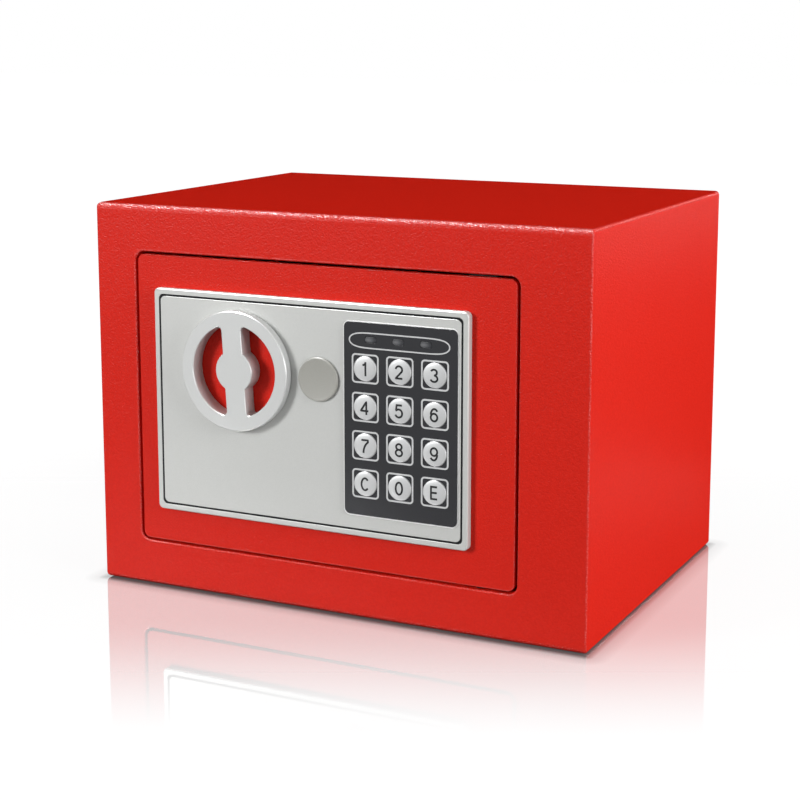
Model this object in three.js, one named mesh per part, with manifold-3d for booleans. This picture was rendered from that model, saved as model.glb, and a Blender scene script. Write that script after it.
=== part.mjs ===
// A small digital home safe: a folded steel cabinet with a flush door on hidden pins.
// Millimetres. X runs to the right seen from the front, Y runs into the safe, Z is up.
// The origin is the middle of the cabinet's underside.
import * as THREE from "three";
import { mergeVertices } from "three/addons/utils/BufferGeometryUtils.js";
import Module from "manifold-3d";

const wasm = await Module();
wasm.setup();

// Cabinet: one folded sheet with a welded back
const DEPTH = 170;
const HEIGHT = 170;
const SHEET = 1.5;
const FRONT_BEND = 2;
const SIDE_BEND = 1.2;
const BACK_BEND = 1;
const ANCHOR_HOLE = 9;
const ANCHOR_SPACING = 120;

// Door opening: its margins to the cabinet's outside, and the return fold that lines it
const LEFT_MARGIN = 20;
const RIGHT_MARGIN = 30;
const TOP_MARGIN = 20.5;
const BOTTOM_MARGIN = 20.5;
const OPENING_CORNER = 4;
const OPENING_ROLL = 1.2;
const RETURN_DEPTH = 8;

// Clearances
const SEAT = 0.3;
const RUN = 0.3;
const DOOR_GAP = 1;

// Door plate and its hidden hinge pins
const DOOR_RECESS = 0.2;
const DOOR_THICKNESS = 3;
const DOOR_CORNER = 3.2;
const DOOR_EDGE = 0.5;
const HINGE_INSET = 16;
const HINGE_DEPTH = 4.5;
const PIN_DIAMETER = 4.4;
const KNUCKLE_WIDTH = 12;
const KNUCKLE_DEPTH = 6.5;
const KNUCKLE_HEIGHT = 12;
const KNUCKLE_RISE = 0.4;
const PIN_END = 0.5;
const BRACKET_WIDTH = 20;
const BRACKET_DEPTH = 9;
const BRACKET_THICKNESS = 3;
const STOP_WIDTH = 6;
const STOP_HEIGHT = 12;
const STOP_INSET = 12;
const STOP_THICKNESS = 2;

// Fascia on the door: a rim and a plate over a black backing sheet that shows in the groove.
// Its width follows from the knob, the lock cap and the keypad side by side.
const FASCIA_HEIGHT = 97.9;
const FASCIA_RAISE = 0.7;
const FASCIA_LEFT_MARGIN = 10.25;
const FASCIA_RIGHT_MARGIN = 19.25;
const KNOB_LEFT_ROOM = 16.35;
const KNOB_TO_CAP = 3.65;
const CAP_TO_KEYPAD = 2.85;
const KEYPAD_RIGHT_ROOM = 4.55;
const FASCIA_CORNER = 2.2;
const FASCIA_RIM = 2.4;
const GROOVE = 0.8;
const BACKING = 0.5;
const FASCIA_THICKNESS = 2;
const FASCIA_EDGE = 0.6;

// Knob
const KNOB_RAISE = 16.5;
const KNOB_DIAMETER = 51.4;
const KNOB_THICKNESS = 3.9;
const KNOB_EDGE = 0.6;
const KNOB_LEAN = 3.5;
const KNOB_RING = 5.7;
const WELL_MARGIN = 2;
const DRUM_WALL = 1.5;
const WINDOW_FILLET = 1.6;
const BAR_WIDTH = 9.5;
const HUB_RADIUS = 8.8;
const SHAFT_DIAMETER = 8;
const KNOB_SKIN = 1.5;
const KNOB_LIFT = 0.1;

// Keypad
const KEYPAD_RAISE = 1.1;
const KEYPAD_SIDE_ROOM = 9.8;
const KEYPAD_TOP_ROOM = 19.15;
const KEYPAD_BOTTOM_ROOM = 13.55;
const KEYPAD_CORNER = 2.5;
const KEYPAD_LEDGE = 1;
const OVERLAY = 0.5;
const KEY_DIAMETER = 10.4;
const KEY_PITCH_X = 15.7;
const KEY_PITCH_Z = 16.1;
const KEY_RISE = 0.8;
const KEY_TRAVEL = 0.5;
const KEY_FLANGE = 0.45;
const KEY_PLAY = 0.1;
const KEY_DOME = 0.35;
const BOARD = 0.6;
const DOME_SHEET = 0.2;
const LED_WIDTH = 5;
const LED_HEIGHT = 2.3;
const LED_PITCH = 12.4;
const LED_DROP = 7.1;
const LED_SHIFT = 0.8;
const LED_CORNER = 1.1;
const LED_EDGE = 0.3;

// Emergency lock behind its round cap
const LOCK_RAISE = 16;
const CAP_DIAMETER = 18.7;
const CAP_THICKNESS = 1;
const CAP_SKIRT = 8;
const CAP_WALL = 1.4;
const CAP_EDGE = 0.5;
const BARREL_RADIUS = 7.5;
const PLUG_RADIUS = 5;
const BARREL_LENGTH = 16;
const NUT_RADIUS = 11;
const NUT_THICKNESS = 3;
const CAM_ARM = 15;
const CAM_WIDTH = 5;
const CAM_THICKNESS = 2;
const KEYWAY_WIDTH = 1.4;
const KEYWAY_HEIGHT = 5;
const KEYWAY_DEPTH = 9;

// Lock work on the back of the door
const CHASSIS = 1.5;
const CHASSIS_MARGIN = 8;
const CHASSIS_WALL = 5;
const BOLT_DIAMETER = 12;
const BOLT_SPREAD = 50;
const BOLT_AXIS_DEPTH = 15;
const BOLT_THROW = 12;
const BOLT_REACH = 8;
const BOLT_LAP = 15.5;
const BOLT_BACK = 1.5;
const BOLT_CHAMFER = 1;
const CARRIAGE_ROOM = 1.2;
const CARRIAGE = 2;
const CARRIAGE_SIDE = 2;
const CARRIAGE_ARM = 6;
const CARRIAGE_TOP = 6;
const CRANK_RADIUS = 12;
const CRANK_PIN = 5;
const CRANK_SWING = 60;
const CRANK_PLATE = 2.8;
const CRANK_HUB = 7;
const CRANK_EYE = 8;
const PIN_STAND = 2;
const TAB_WIDTH = 4;
const TAB_HEIGHT = 5;

// Solenoid that lets the bolt carriage pass
const SOLENOID_OFFSET = 13;
const SOLENOID_WIDTH = 18;
const SOLENOID_LENGTH = 23;
const CAM_TO_SOLENOID = 2.7;
const SOLENOID_PLATE = 1.2;
const COIL_DIAMETER = 15;
const PLUNGER_DIAMETER = 6;
const PLUNGER_STROKE = 5;
const PLUNGER_COLLAR = 10;
const PLUNGER_NOSE = 6;
const PLUNGER_ROOM = 0.8;
const STEM_DIAMETER = 3;
const RELEASE_COLLAR = 8;
const RELEASE_THICKNESS = 2;
const COLLAR_THICKNESS = 1.5;
const STEM_ROOT = 3;
const SPRING_LENGTH = 6;
const SPRING_WIRE = 0.7;
const SPRING_TURNS = 4;

// Cover over the lock work, battery box and reset button
const COVER_SHEET = 1.2;
const COVER_DEPTH = 34;
const COVER_LEFT_INSET = 8;
const COVER_END_INSET = 4.5;
const COVER_BEND = 2;
const SCREW_HEAD = 7;
const SCREW_SHANK = 3.6;
const SCREW_SIDE = 7;
const SCREW_LENGTH = 8;
const SCREW_RIM = 0.8;
const SCREW_DOME = 1.8;
const SCREW_CROWN = 2.1;
const SCREW_CROSS = 4;
const CELL_DIAMETER = 14.3;
const CELL_LENGTH = 50.3;
const CELL_NUB = 5.4;
const CELL_NUB_LENGTH = 1;
const CELL_PITCH = 15;
const CELL_ROOM = 3;
const BOX_GAP = 4.8;
const BOX_WALL = 1.2;
const LID_THICKNESS = 1.6;
const LID_LAP = 2;
const LID_CLEAR = 1.2;
const RESET_DIAMETER = 7.4;
const RESET_RISE = 3;
const RESET_FLANGE = 10;
const RESET_INSET_X = 12;
const RESET_INSET_Z = 14;
const RESET_FOOT = 4;
const RESET_EDGE = 0.5;
const LEAD_DIAMETER = 3;
const LEAD_HOLE = 5;
const LEAD_RISE = 6;
const MAT_THICKNESS = 2;

// Places worked out from the sizes above
const FRONT = -DEPTH / 2;
const BACK = DEPTH / 2;
const KEYPAD_WIDTH = 2 * KEY_PITCH_X + 2 * KEYPAD_SIDE_ROOM;
const KEYPAD_HEIGHT = 3 * KEY_PITCH_Z + KEYPAD_TOP_ROOM + KEYPAD_BOTTOM_ROOM;
const FASCIA_WIDTH =
  KNOB_LEFT_ROOM +
  KNOB_DIAMETER +
  KNOB_TO_CAP +
  CAP_DIAMETER +
  CAP_TO_KEYPAD +
  KEYPAD_WIDTH +
  KEYPAD_RIGHT_ROOM;
const DOOR_WIDTH = FASCIA_LEFT_MARGIN + FASCIA_WIDTH + FASCIA_RIGHT_MARGIN;
const WIDTH = LEFT_MARGIN + DOOR_GAP + DOOR_WIDTH + DOOR_GAP + RIGHT_MARGIN;
const OPEN_LEFT = -WIDTH / 2 + LEFT_MARGIN;
const OPEN_RIGHT = WIDTH / 2 - RIGHT_MARGIN;
const OPEN_BOTTOM = BOTTOM_MARGIN;
const OPEN_TOP = HEIGHT - TOP_MARGIN;
const OPEN_X = (OPEN_LEFT + OPEN_RIGHT) / 2;
const OPEN_Z = (OPEN_BOTTOM + OPEN_TOP) / 2;
const DOOR_LEFT = OPEN_LEFT + DOOR_GAP;
const DOOR_RIGHT = OPEN_RIGHT - DOOR_GAP;
const DOOR_BOTTOM = OPEN_BOTTOM + DOOR_GAP;
const DOOR_TOP = OPEN_TOP - DOOR_GAP;
const DOOR_FACE = FRONT + DOOR_RECESS;
const DOOR_BACK = DOOR_FACE + DOOR_THICKNESS;
const FASCIA_X = DOOR_LEFT + FASCIA_LEFT_MARGIN + FASCIA_WIDTH / 2;
const FASCIA_Z = OPEN_Z + FASCIA_RAISE;
const KNOB_X = FASCIA_X - FASCIA_WIDTH / 2 + KNOB_LEFT_ROOM + KNOB_DIAMETER / 2;
const KNOB_Z = FASCIA_Z + KNOB_RAISE;
const WINDOW_RADIUS = KNOB_DIAMETER / 2 - KNOB_RING;
const WELL_RADIUS = WINDOW_RADIUS + WELL_MARGIN;
const DRUM_RADIUS = WINDOW_RADIUS + DRUM_WALL;
const LOCK_X = KNOB_X + KNOB_DIAMETER / 2 + KNOB_TO_CAP + CAP_DIAMETER / 2;
const LOCK_Z = FASCIA_Z + LOCK_RAISE;
const KEYPAD_X = LOCK_X + CAP_DIAMETER / 2 + CAP_TO_KEYPAD + KEYPAD_WIDTH / 2;
const KEYPAD_Z = FASCIA_Z + KEYPAD_RAISE;
const HINGE_X = DOOR_RIGHT - HINGE_INSET;
const HINGE_Y = FRONT + HINGE_DEPTH;
const BACKING_FACE = DOOR_FACE - SEAT - BACKING;
const FASCIA_BACK = BACKING_FACE - SEAT;
const FASCIA_FACE = FASCIA_BACK - FASCIA_THICKNESS;
const OVERLAY_BACK = FASCIA_FACE - SEAT;
const OVERLAY_FACE = OVERLAY_BACK - OVERLAY;
const BOARD_FACE = DOOR_FACE - SEAT - BOARD;
const DOME_FACE = BOARD_FACE - SEAT - DOME_SHEET;
const KEY_FOOT = DOME_FACE - KEY_TRAVEL - KEY_PLAY;
const CHASSIS_FRONT = DOOR_BACK + SEAT;
const CHASSIS_BACK = CHASSIS_FRONT + CHASSIS;
const COVER_LEFT = DOOR_LEFT + COVER_LEFT_INSET;
const COVER_BOTTOM = DOOR_BOTTOM + COVER_END_INSET;
const COVER_TOP = DOOR_TOP - COVER_END_INSET;
const COVER_BACK = DOOR_BACK + COVER_DEPTH;
const COVER_INSIDE = COVER_BACK - COVER_SHEET;
const BOLT_Y = FRONT + BOLT_AXIS_DEPTH;
const BOLT_TIP = COVER_LEFT - BOLT_REACH + BOLT_BACK;
const CARRIAGE_FRONT = BOLT_Y - CARRIAGE / 2;
const CARRIAGE_BACK = BOLT_Y + CARRIAGE / 2;
const CHASSIS_LEFT = COVER_LEFT + COVER_SHEET + SEAT;
const CARRIAGE_LEFT = CHASSIS_LEFT + CHASSIS + BOLT_THROW + CARRIAGE_ROOM;
const CARRIAGE_RIGHT = KNOB_X + CRANK_RADIUS + CARRIAGE_SIDE;
const CRANK_BACK = CARRIAGE_FRONT - 2 * SEAT;
const CRANK_FRONT = CRANK_BACK - CRANK_PLATE;
const SOLENOID_X = LOCK_X - SOLENOID_OFFSET;
const SOLENOID_TOP = LOCK_Z - CAM_ARM - CAM_TO_SOLENOID;
const SOLENOID_BOTTOM = SOLENOID_TOP - SOLENOID_LENGTH;
const COLLAR_TOP = SOLENOID_BOTTOM - SPRING_LENGTH;
const PLUNGER_TIP = COLLAR_TOP - PLUNGER_NOSE;
const ARM_TOP = PLUNGER_TIP - PLUNGER_STROKE - PLUNGER_ROOM;
const ARM_BOTTOM = ARM_TOP - CARRIAGE_ARM;
const BOX_LENGTH = CELL_LENGTH + CELL_NUB_LENGTH + CELL_ROOM + 2 * BOX_WALL;
const BOX_HEIGHT = 4 * CELL_PITCH + 2 * BOX_WALL;
const BOX_DEPTH = CELL_DIAMETER + BOX_WALL + 2 * SEAT;
const BOX_X = SOLENOID_X + SOLENOID_WIDTH / 2 + BOX_GAP + BOX_LENGTH / 2;
const COVER_RIGHT = BOX_X + BOX_LENGTH / 2 + SEAT + COVER_SHEET;
const BOX_Z = COVER_BOTTOM + COVER_SHEET + SEAT + BOX_HEIGHT / 2;
const BOX_BACK = COVER_INSIDE - SEAT;
const CELL_Y = BOX_BACK - SEAT - CELL_DIAMETER / 2;
const LEAD_X = KEYPAD_X;
const LEAD_Z = BOX_Z + BOX_HEIGHT / 2 + LEAD_RISE;

// Finishes
function finish(color, roughness, metalness) {
  return new THREE.MeshStandardMaterial({ color, roughness, metalness });
}
const redPaint = finish(0xc8140f, 0.45, 0);
const silverPlastic = finish(0xc8c9c6, 0.4, 0.1);
const greyCap = finish(0xb2b0a7, 0.5, 0);
const charcoal = finish(0x3e3f43, 0.45, 0);
const black = finish(0x101010, 0.6, 0);
const steel = finish(0xb8babd, 0.35, 0.9);
const brass = finish(0xc9a24b, 0.35, 0.9);
const copper = finish(0xa8562c, 0.4, 0.8);
const greenBoard = finish(0x1e6b3a, 0.5, 0);
const ledLens = finish(0x55575a, 0.3, 0);
const cellJacket = finish(0x2b4a8a, 0.35, 0);
const resetRed = finish(0xd02020, 0.4, 0);
const felt = finish(0x2a2a2d, 0.95, 0);

// A closed three.js geometry as a solid that can be joined and cut
function solid(geometry) {
  const bare = geometry.clone();
  bare.deleteAttribute("normal");
  bare.deleteAttribute("uv");
  const merged = mergeVertices(bare, 1e-4);
  const mesh = new wasm.Mesh({
    numProp: 3,
    vertProperties: new Float32Array(merged.attributes.position.array),
    triVerts: new Uint32Array(merged.index.array),
  });
  return new wasm.Manifold(mesh);
}

// The solid back as a geometry
function surface(body) {
  const mesh = body.getMesh();
  const geometry = new THREE.BufferGeometry();
  geometry.setAttribute("position", new THREE.BufferAttribute(mesh.vertProperties, 3));
  geometry.setIndex(new THREE.BufferAttribute(mesh.triVerts, 1));
  geometry.computeVertexNormals();
  return geometry;
}

// A block between two corners
function block(x0, x1, y0, y1, z0, z1) {
  const geometry = new THREE.BoxGeometry(x1 - x0, y1 - y0, z1 - z0);
  return solid(geometry.translate((x0 + x1) / 2, (y0 + y1) / 2, (z0 + z1) / 2));
}

// A round bar along Y, X or Z
function barY(radius, y0, y1, x, z, sides = 32) {
  const geometry = new THREE.CylinderGeometry(radius, radius, y1 - y0, sides);
  return solid(geometry.translate(x, (y0 + y1) / 2, z));
}
function barX(radius, x0, x1, y, z, sides = 32) {
  const geometry = new THREE.CylinderGeometry(radius, radius, x1 - x0, sides);
  return solid(geometry.rotateZ(Math.PI / 2).translate((x0 + x1) / 2, y, z));
}
function barZ(radius, z0, z1, x, y, sides = 24) {
  const geometry = new THREE.CylinderGeometry(radius, radius, z1 - z0, sides);
  return solid(geometry.rotateX(Math.PI / 2).translate(x, y, (z0 + z1) / 2));
}

// A turned form about an axis along Y: profile points are [radius, y], front to back
function turned(profile, x, z, sides = 40) {
  const points = profile.map(([radius, y]) => new THREE.Vector2(radius, y));
  return solid(new THREE.LatheGeometry(points, sides).translate(x, 0, z));
}

// The outline of a rectangle with round corners, as points in X and Z
function roundedOutline(width, height, radius, steps) {
  const corner = Math.max(radius, 0.05);
  const points = [];
  for (let quarter = 0; quarter < 4; quarter += 1) {
    const signX = quarter === 0 || quarter === 3 ? 1 : -1;
    const signZ = quarter < 2 ? 1 : -1;
    for (let step = 0; step <= steps; step += 1) {
      const angle = ((quarter + step / steps) * Math.PI) / 2;
      const x = signX * (width / 2 - corner) + corner * Math.cos(angle);
      const z = signZ * (height / 2 - corner) + corner * Math.sin(angle);
      points.push([x, z]);
    }
  }
  return points;
}

// A body with rounded corners whose outline changes from layer to layer along Y.
// Each layer is [y, how far the outline is drawn in].
function layered(x, z, width, height, radius, layers, steps = 4) {
  const rings = layers.map(([y, inset]) => {
    const outline = roundedOutline(width - 2 * inset, height - 2 * inset, radius - inset, steps);
    return outline.map(([px, pz]) => [x + px, y, z + pz]);
  });
  const count = rings[0].length;
  const index = [];
  for (let ring = 0; ring + 1 < rings.length; ring += 1) {
    for (let k = 0; k < count; k += 1) {
      const a = ring * count + k;
      const b = ring * count + ((k + 1) % count);
      index.push(a, a + count, b, b, a + count, b + count);
    }
  }
  const last = (rings.length - 1) * count;
  for (let k = 1; k + 1 < count; k += 1) {
    index.push(0, k, k + 1, last, last + k + 1, last + k);
  }
  const geometry = new THREE.BufferGeometry();
  geometry.setAttribute("position", new THREE.Float32BufferAttribute(rings.flat(2), 3));
  geometry.setIndex(index);
  return solid(geometry);
}

// Layers of a straight body from y0 to y1, and of one whose front edge is rounded
function straight(y0, y1) {
  return [
    [y0, 0],
    [y1, 0],
  ];
}
function easedFront(y0, y1, edge, steps = 3) {
  const layers = [];
  for (let step = 0; step <= steps; step += 1) {
    const angle = ((step / steps) * Math.PI) / 2;
    layers.push([y0 + edge * (1 - Math.sin(angle)), edge * (1 - Math.cos(angle))]);
  }
  return [...layers.reverse(), [y1, 0]];
}

const safe = new THREE.Group();

// Puts a finished solid into the assembly under its name
function place(name, body, material) {
  const mesh = new THREE.Mesh(surface(body), material);
  mesh.name = name;
  safe.add(mesh);
}

// The cabinet's outside, rounded to the front, the sides and the back
function cabinetOutside() {
  const layers = easedFront(FRONT, BACK - BACK_BEND, FRONT_BEND, 4);
  layers.push([BACK - BACK_BEND / 2, BACK_BEND * 0.15]);
  layers.push([BACK, BACK_BEND * 0.6]);
  return layered(0, HEIGHT / 2, WIDTH, HEIGHT, SIDE_BEND + FRONT_BEND, layers);
}

// The fold that lines the door opening, with its rolled front edge cut away
function openingLining() {
  const outerWidth = OPEN_RIGHT - OPEN_LEFT + 2 * SHEET;
  const outerHeight = OPEN_TOP - OPEN_BOTTOM + 2 * SHEET;
  const layers = straight(FRONT + SHEET / 2, FRONT + RETURN_DEPTH);
  return layered(OPEN_X, OPEN_Z, outerWidth, outerHeight, OPENING_CORNER + SHEET, layers);
}
function openingCut() {
  const width = OPEN_RIGHT - OPEN_LEFT;
  const height = OPEN_TOP - OPEN_BOTTOM;
  const layers = [[FRONT - 1, -OPENING_ROLL]];
  for (let step = 0; step <= 3; step += 1) {
    const angle = ((step / 3) * Math.PI) / 2;
    const inset = -OPENING_ROLL * (1 - Math.sin(angle));
    layers.push([FRONT + OPENING_ROLL * (1 - Math.cos(angle)), inset]);
  }
  layers.push([FRONT + RETURN_DEPTH + 1, 0]);
  return layered(OPEN_X, OPEN_Z, width, height, OPENING_CORNER, layers);
}

function cabinetShell() {
  const side = WIDTH / 2 - SHEET;
  const inside = block(-side, side, FRONT + SHEET, BACK + 1, SHEET, HEIGHT - SHEET);
  let shell = cabinetOutside().subtract(inside).add(openingLining()).subtract(openingCut());
  for (const way of [-1, 1]) {
    const x = (way * ANCHOR_SPACING) / 2;
    shell = shell.subtract(barZ(ANCHOR_HOLE / 2, -1, SHEET + 1, x, 0));
  }
  const pinHole = PIN_DIAMETER / 2 + RUN;
  const through = [OPEN_BOTTOM - SHEET - 1, OPEN_TOP + SHEET + 1];
  return shell.subtract(barZ(pinHole, through[0], through[1], HINGE_X, HINGE_Y));
}
place("cabinet_shell", cabinetShell(), redPaint);

function backPanel() {
  const side = WIDTH / 2 - SHEET - SEAT;
  const low = SHEET + SEAT;
  let panel = block(-side, side, BACK - SHEET, BACK, low, HEIGHT - low);
  for (const way of [-1, 1]) {
    const x = (way * ANCHOR_SPACING) / 2;
    panel = panel.subtract(barY(ANCHOR_HOLE / 2, BACK - SHEET - 1, BACK + 1, x, HEIGHT / 2, 24));
  }
  return panel;
}
place("back_panel", backPanel(), redPaint);

// A plate that carries a hinge pin, welded to the lining above or below the opening
function hingeBracket(z0) {
  const y0 = FRONT + SHEET + SEAT;
  const half = BRACKET_WIDTH / 2;
  const z1 = z0 + BRACKET_THICKNESS;
  const plate = block(HINGE_X - half, HINGE_X + half, y0, y0 + BRACKET_DEPTH, z0, z1);
  return plate.subtract(barZ(PIN_DIAMETER / 2 + RUN, z0 - 1, z1 + 1, HINGE_X, HINGE_Y));
}
const BRACKET_TOP = OPEN_TOP + SHEET + SEAT;
const BRACKET_LOW = OPEN_BOTTOM - SHEET - SEAT - BRACKET_THICKNESS;
place("hinge_bracket_upper", hingeBracket(BRACKET_TOP), redPaint);
place("hinge_bracket_lower", hingeBracket(BRACKET_LOW), redPaint);

// A stop on the left of the opening that the closed door lies against
function doorStop(z) {
  const left = OPEN_LEFT - SHEET - SEAT - STOP_THICKNESS;
  const y0 = FRONT + RETURN_DEPTH + SEAT;
  const face = DOOR_BACK + SEAT;
  const y1 = y0 + STOP_THICKNESS;
  const foot = block(left, OPEN_LEFT + STOP_WIDTH, y0, y1, z, z + STOP_HEIGHT);
  const nose = block(OPEN_LEFT + SEAT, OPEN_LEFT + STOP_WIDTH, face, y1, z, z + STOP_HEIGHT);
  return foot.add(nose);
}
place("door_stop_upper", doorStop(OPEN_TOP - STOP_INSET - STOP_HEIGHT), redPaint);
place("door_stop_lower", doorStop(OPEN_BOTTOM + STOP_INSET), redPaint);

function floorMat() {
  const side = WIDTH / 2 - SHEET - 1;
  const low = SHEET + SEAT;
  return block(-side, side, FRONT + RETURN_DEPTH + 1, BACK - SHEET - 1, low, low + MAT_THICKNESS);
}
place("floor_mat", floorMat(), felt);

// Door
function doorPlate() {
  const x = (DOOR_LEFT + DOOR_RIGHT) / 2;
  const z = (DOOR_BOTTOM + DOOR_TOP) / 2;
  const layers = easedFront(DOOR_FACE, DOOR_BACK, DOOR_EDGE, 2);
  const width = DOOR_RIGHT - DOOR_LEFT;
  const height = DOOR_TOP - DOOR_BOTTOM;
  const plate = layered(x, z, width, height, DOOR_CORNER, layers);
  const y0 = DOOR_FACE - 1;
  const y1 = DOOR_BACK + 1;
  const shaftHole = barY(SHAFT_DIAMETER / 2 + RUN, y0, y1, KNOB_X, KNOB_Z, 24);
  const lockHole = barY(BARREL_RADIUS + SEAT, y0, y1, LOCK_X, LOCK_Z);
  const leadHole = barY(LEAD_HOLE / 2, y0, y1, LEAD_X, LEAD_Z, 16);
  return plate.subtract(shaftHole).subtract(lockHole).subtract(leadHole);
}

place("door_plate", doorPlate(), redPaint);

// A block on the back of the door with the pin that stands in the cabinet's bracket
function hingePin(end) {
  const way = end === "upper" ? 1 : -1;
  const edge = end === "upper" ? DOOR_TOP : DOOR_BOTTOM;
  const half = KNUCKLE_WIDTH / 2;
  const ends = [edge - way * KNUCKLE_HEIGHT, edge + way * KNUCKLE_RISE].sort((a, b) => a - b);
  const y1 = CHASSIS_FRONT + KNUCKLE_DEPTH;
  const knuckle = block(HINGE_X - half, HINGE_X + half, CHASSIS_FRONT, y1, ends[0], ends[1]);
  const far = edge + way * (DOOR_GAP + SHEET + SEAT + BRACKET_THICKNESS + PIN_END);
  const pinEnds = [edge + (way * KNUCKLE_RISE) / 2, far].sort((a, b) => a - b);
  return knuckle.add(barZ(PIN_DIAMETER / 2, pinEnds[0], pinEnds[1], HINGE_X, HINGE_Y));
}
place("hinge_pin_upper", hingePin("upper"), steel);
place("hinge_pin_lower", hingePin("lower"), steel);

// Fascia
function fasciaRing(outer, inner, layers, innerLayers) {
  const radius = FASCIA_CORNER;
  const width = FASCIA_WIDTH - 2 * outer;
  const height = FASCIA_HEIGHT - 2 * outer;
  const body = layered(FASCIA_X, FASCIA_Z, width, height, radius, layers);
  if (inner === 0) {
    return body;
  }
  const holeWidth = FASCIA_WIDTH - 2 * inner;
  const holeHeight = FASCIA_HEIGHT - 2 * inner;
  return body.subtract(layered(FASCIA_X, FASCIA_Z, holeWidth, holeHeight, radius, innerLayers));
}

// The holes that the knob, the lock and the keypad need in a sheet of the fascia
function fasciaHoles(body, y0, y1) {
  const well = barY(WELL_RADIUS, y0 - 1, y1 + 1, KNOB_X, KNOB_Z, 48);
  const lock = barY(CAP_SKIRT + SEAT, y0 - 1, y1 + 1, LOCK_X, LOCK_Z);
  const width = KEYPAD_WIDTH - 2 * KEYPAD_LEDGE;
  const height = KEYPAD_HEIGHT - 2 * KEYPAD_LEDGE;
  const layers = straight(y0 - 1, y1 + 1);
  const keypad = layered(KEYPAD_X, KEYPAD_Z, width, height, KEYPAD_CORNER, layers);
  return body.subtract(well).subtract(lock).subtract(keypad);
}
function fasciaBacking() {
  const layers = straight(BACKING_FACE, BACKING_FACE + BACKING);
  const body = fasciaRing(1, 0, layers);
  return fasciaHoles(body, BACKING_FACE, BACKING_FACE + BACKING);
}
function fasciaRim() {
  const layers = easedFront(FASCIA_FACE, FASCIA_BACK, FASCIA_EDGE);
  return fasciaRing(0, FASCIA_RIM, layers, straight(FASCIA_FACE - 1, FASCIA_BACK + 1));
}
function fasciaPlate() {
  const body = fasciaRing(FASCIA_RIM + GROOVE, 0, straight(FASCIA_FACE, FASCIA_BACK));
  return fasciaHoles(body, FASCIA_FACE, FASCIA_BACK);
}
place("fascia_backing", fasciaBacking(), black);
place("fascia_rim", fasciaRim(), silverPlastic);
place("fascia_plate", fasciaPlate(), silverPlastic);

// Keypad
const KEY_NAMES = ["1", "2", "3", "4", "5", "6", "7", "8", "9", "clear", "0", "enter"];
function keyPlace(number) {
  const column = number % 3;
  const row = Math.floor(number / 3);
  const x = KEYPAD_X + (column - 1) * KEY_PITCH_X;
  const z = KEYPAD_Z + KEYPAD_HEIGHT / 2 - KEYPAD_TOP_ROOM - row * KEY_PITCH_Z;
  return [x, z];
}
function ledPlace(number) {
  return [KEYPAD_X + (number - 1) * LED_PITCH - LED_SHIFT, KEYPAD_Z + KEYPAD_HEIGHT / 2 - LED_DROP];
}

// Cuts a window over each light and a hole over each key
function keypadHoles(body, y0, y1, keyHole, margin) {
  let cut = body;
  for (let number = 0; number < 3; number += 1) {
    const [x, z] = ledPlace(number);
    const halfX = LED_WIDTH / 2 + margin;
    const halfZ = LED_HEIGHT / 2 + margin;
    cut = cut.subtract(block(x - halfX, x + halfX, y0 - 1, y1 + 1, z - halfZ, z + halfZ));
  }
  if (keyHole > 0) {
    KEY_NAMES.forEach((_, number) => {
      const [x, z] = keyPlace(number);
      cut = cut.subtract(barY(keyHole, y0 - 1, y1 + 1, x, z, 20));
    });
  }
  return cut;
}
function keypadOverlay() {
  const layers = straight(OVERLAY_FACE, OVERLAY_BACK);
  const body = layered(KEYPAD_X, KEYPAD_Z, KEYPAD_WIDTH, KEYPAD_HEIGHT, KEYPAD_CORNER, layers);
  return keypadHoles(body, OVERLAY_FACE, OVERLAY_BACK, KEY_DIAMETER / 2 + SEAT / 2, SEAT / 2);
}
function keypadLayer(face, thickness, windows) {
  const width = KEYPAD_WIDTH - 2 * KEYPAD_LEDGE - 2 * SEAT;
  const height = KEYPAD_HEIGHT - 2 * KEYPAD_LEDGE - 2 * SEAT;
  const layers = straight(face, face + thickness);
  const body = layered(KEYPAD_X, KEYPAD_Z, width, height, KEYPAD_CORNER, layers);
  return windows ? keypadHoles(body, face, face + thickness, 0, SEAT) : body;
}
place("keypad_overlay", keypadOverlay(), charcoal);
place("keypad_board", keypadLayer(BOARD_FACE, BOARD, false), greenBoard);
place("key_dome_sheet", keypadLayer(DOME_FACE, DOME_SHEET, true), steel);

for (let number = 0; number < 3; number += 1) {
  const [x, z] = ledPlace(number);
  const layers = easedFront(OVERLAY_FACE, BOARD_FACE - SEAT, LED_EDGE, 2);
  place("led_" + (number + 1), layered(x, z, LED_WIDTH, LED_HEIGHT, LED_CORNER, layers), ledLens);
}

// A key: a flange held under the overlay, and a low domed face that stands through it
function keyCap(x, z) {
  const radius = KEY_DIAMETER / 2;
  const face = OVERLAY_FACE - KEY_RISE;
  const profile = [
    [0, face],
    [radius * 0.8, face + KEY_RISE * KEY_DOME],
    [radius, OVERLAY_FACE - SEAT / 2],
    [radius, OVERLAY_BACK + SEAT],
    [radius + KEY_FLANGE, OVERLAY_BACK + SEAT],
    [radius + KEY_FLANGE, KEY_FOOT],
    [0, KEY_FOOT],
  ];
  return turned(profile, x, z, 20);
}
KEY_NAMES.forEach((name, number) => {
  const [x, z] = keyPlace(number);
  place("key_" + name, keyCap(x, z), silverPlastic);
});

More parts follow.
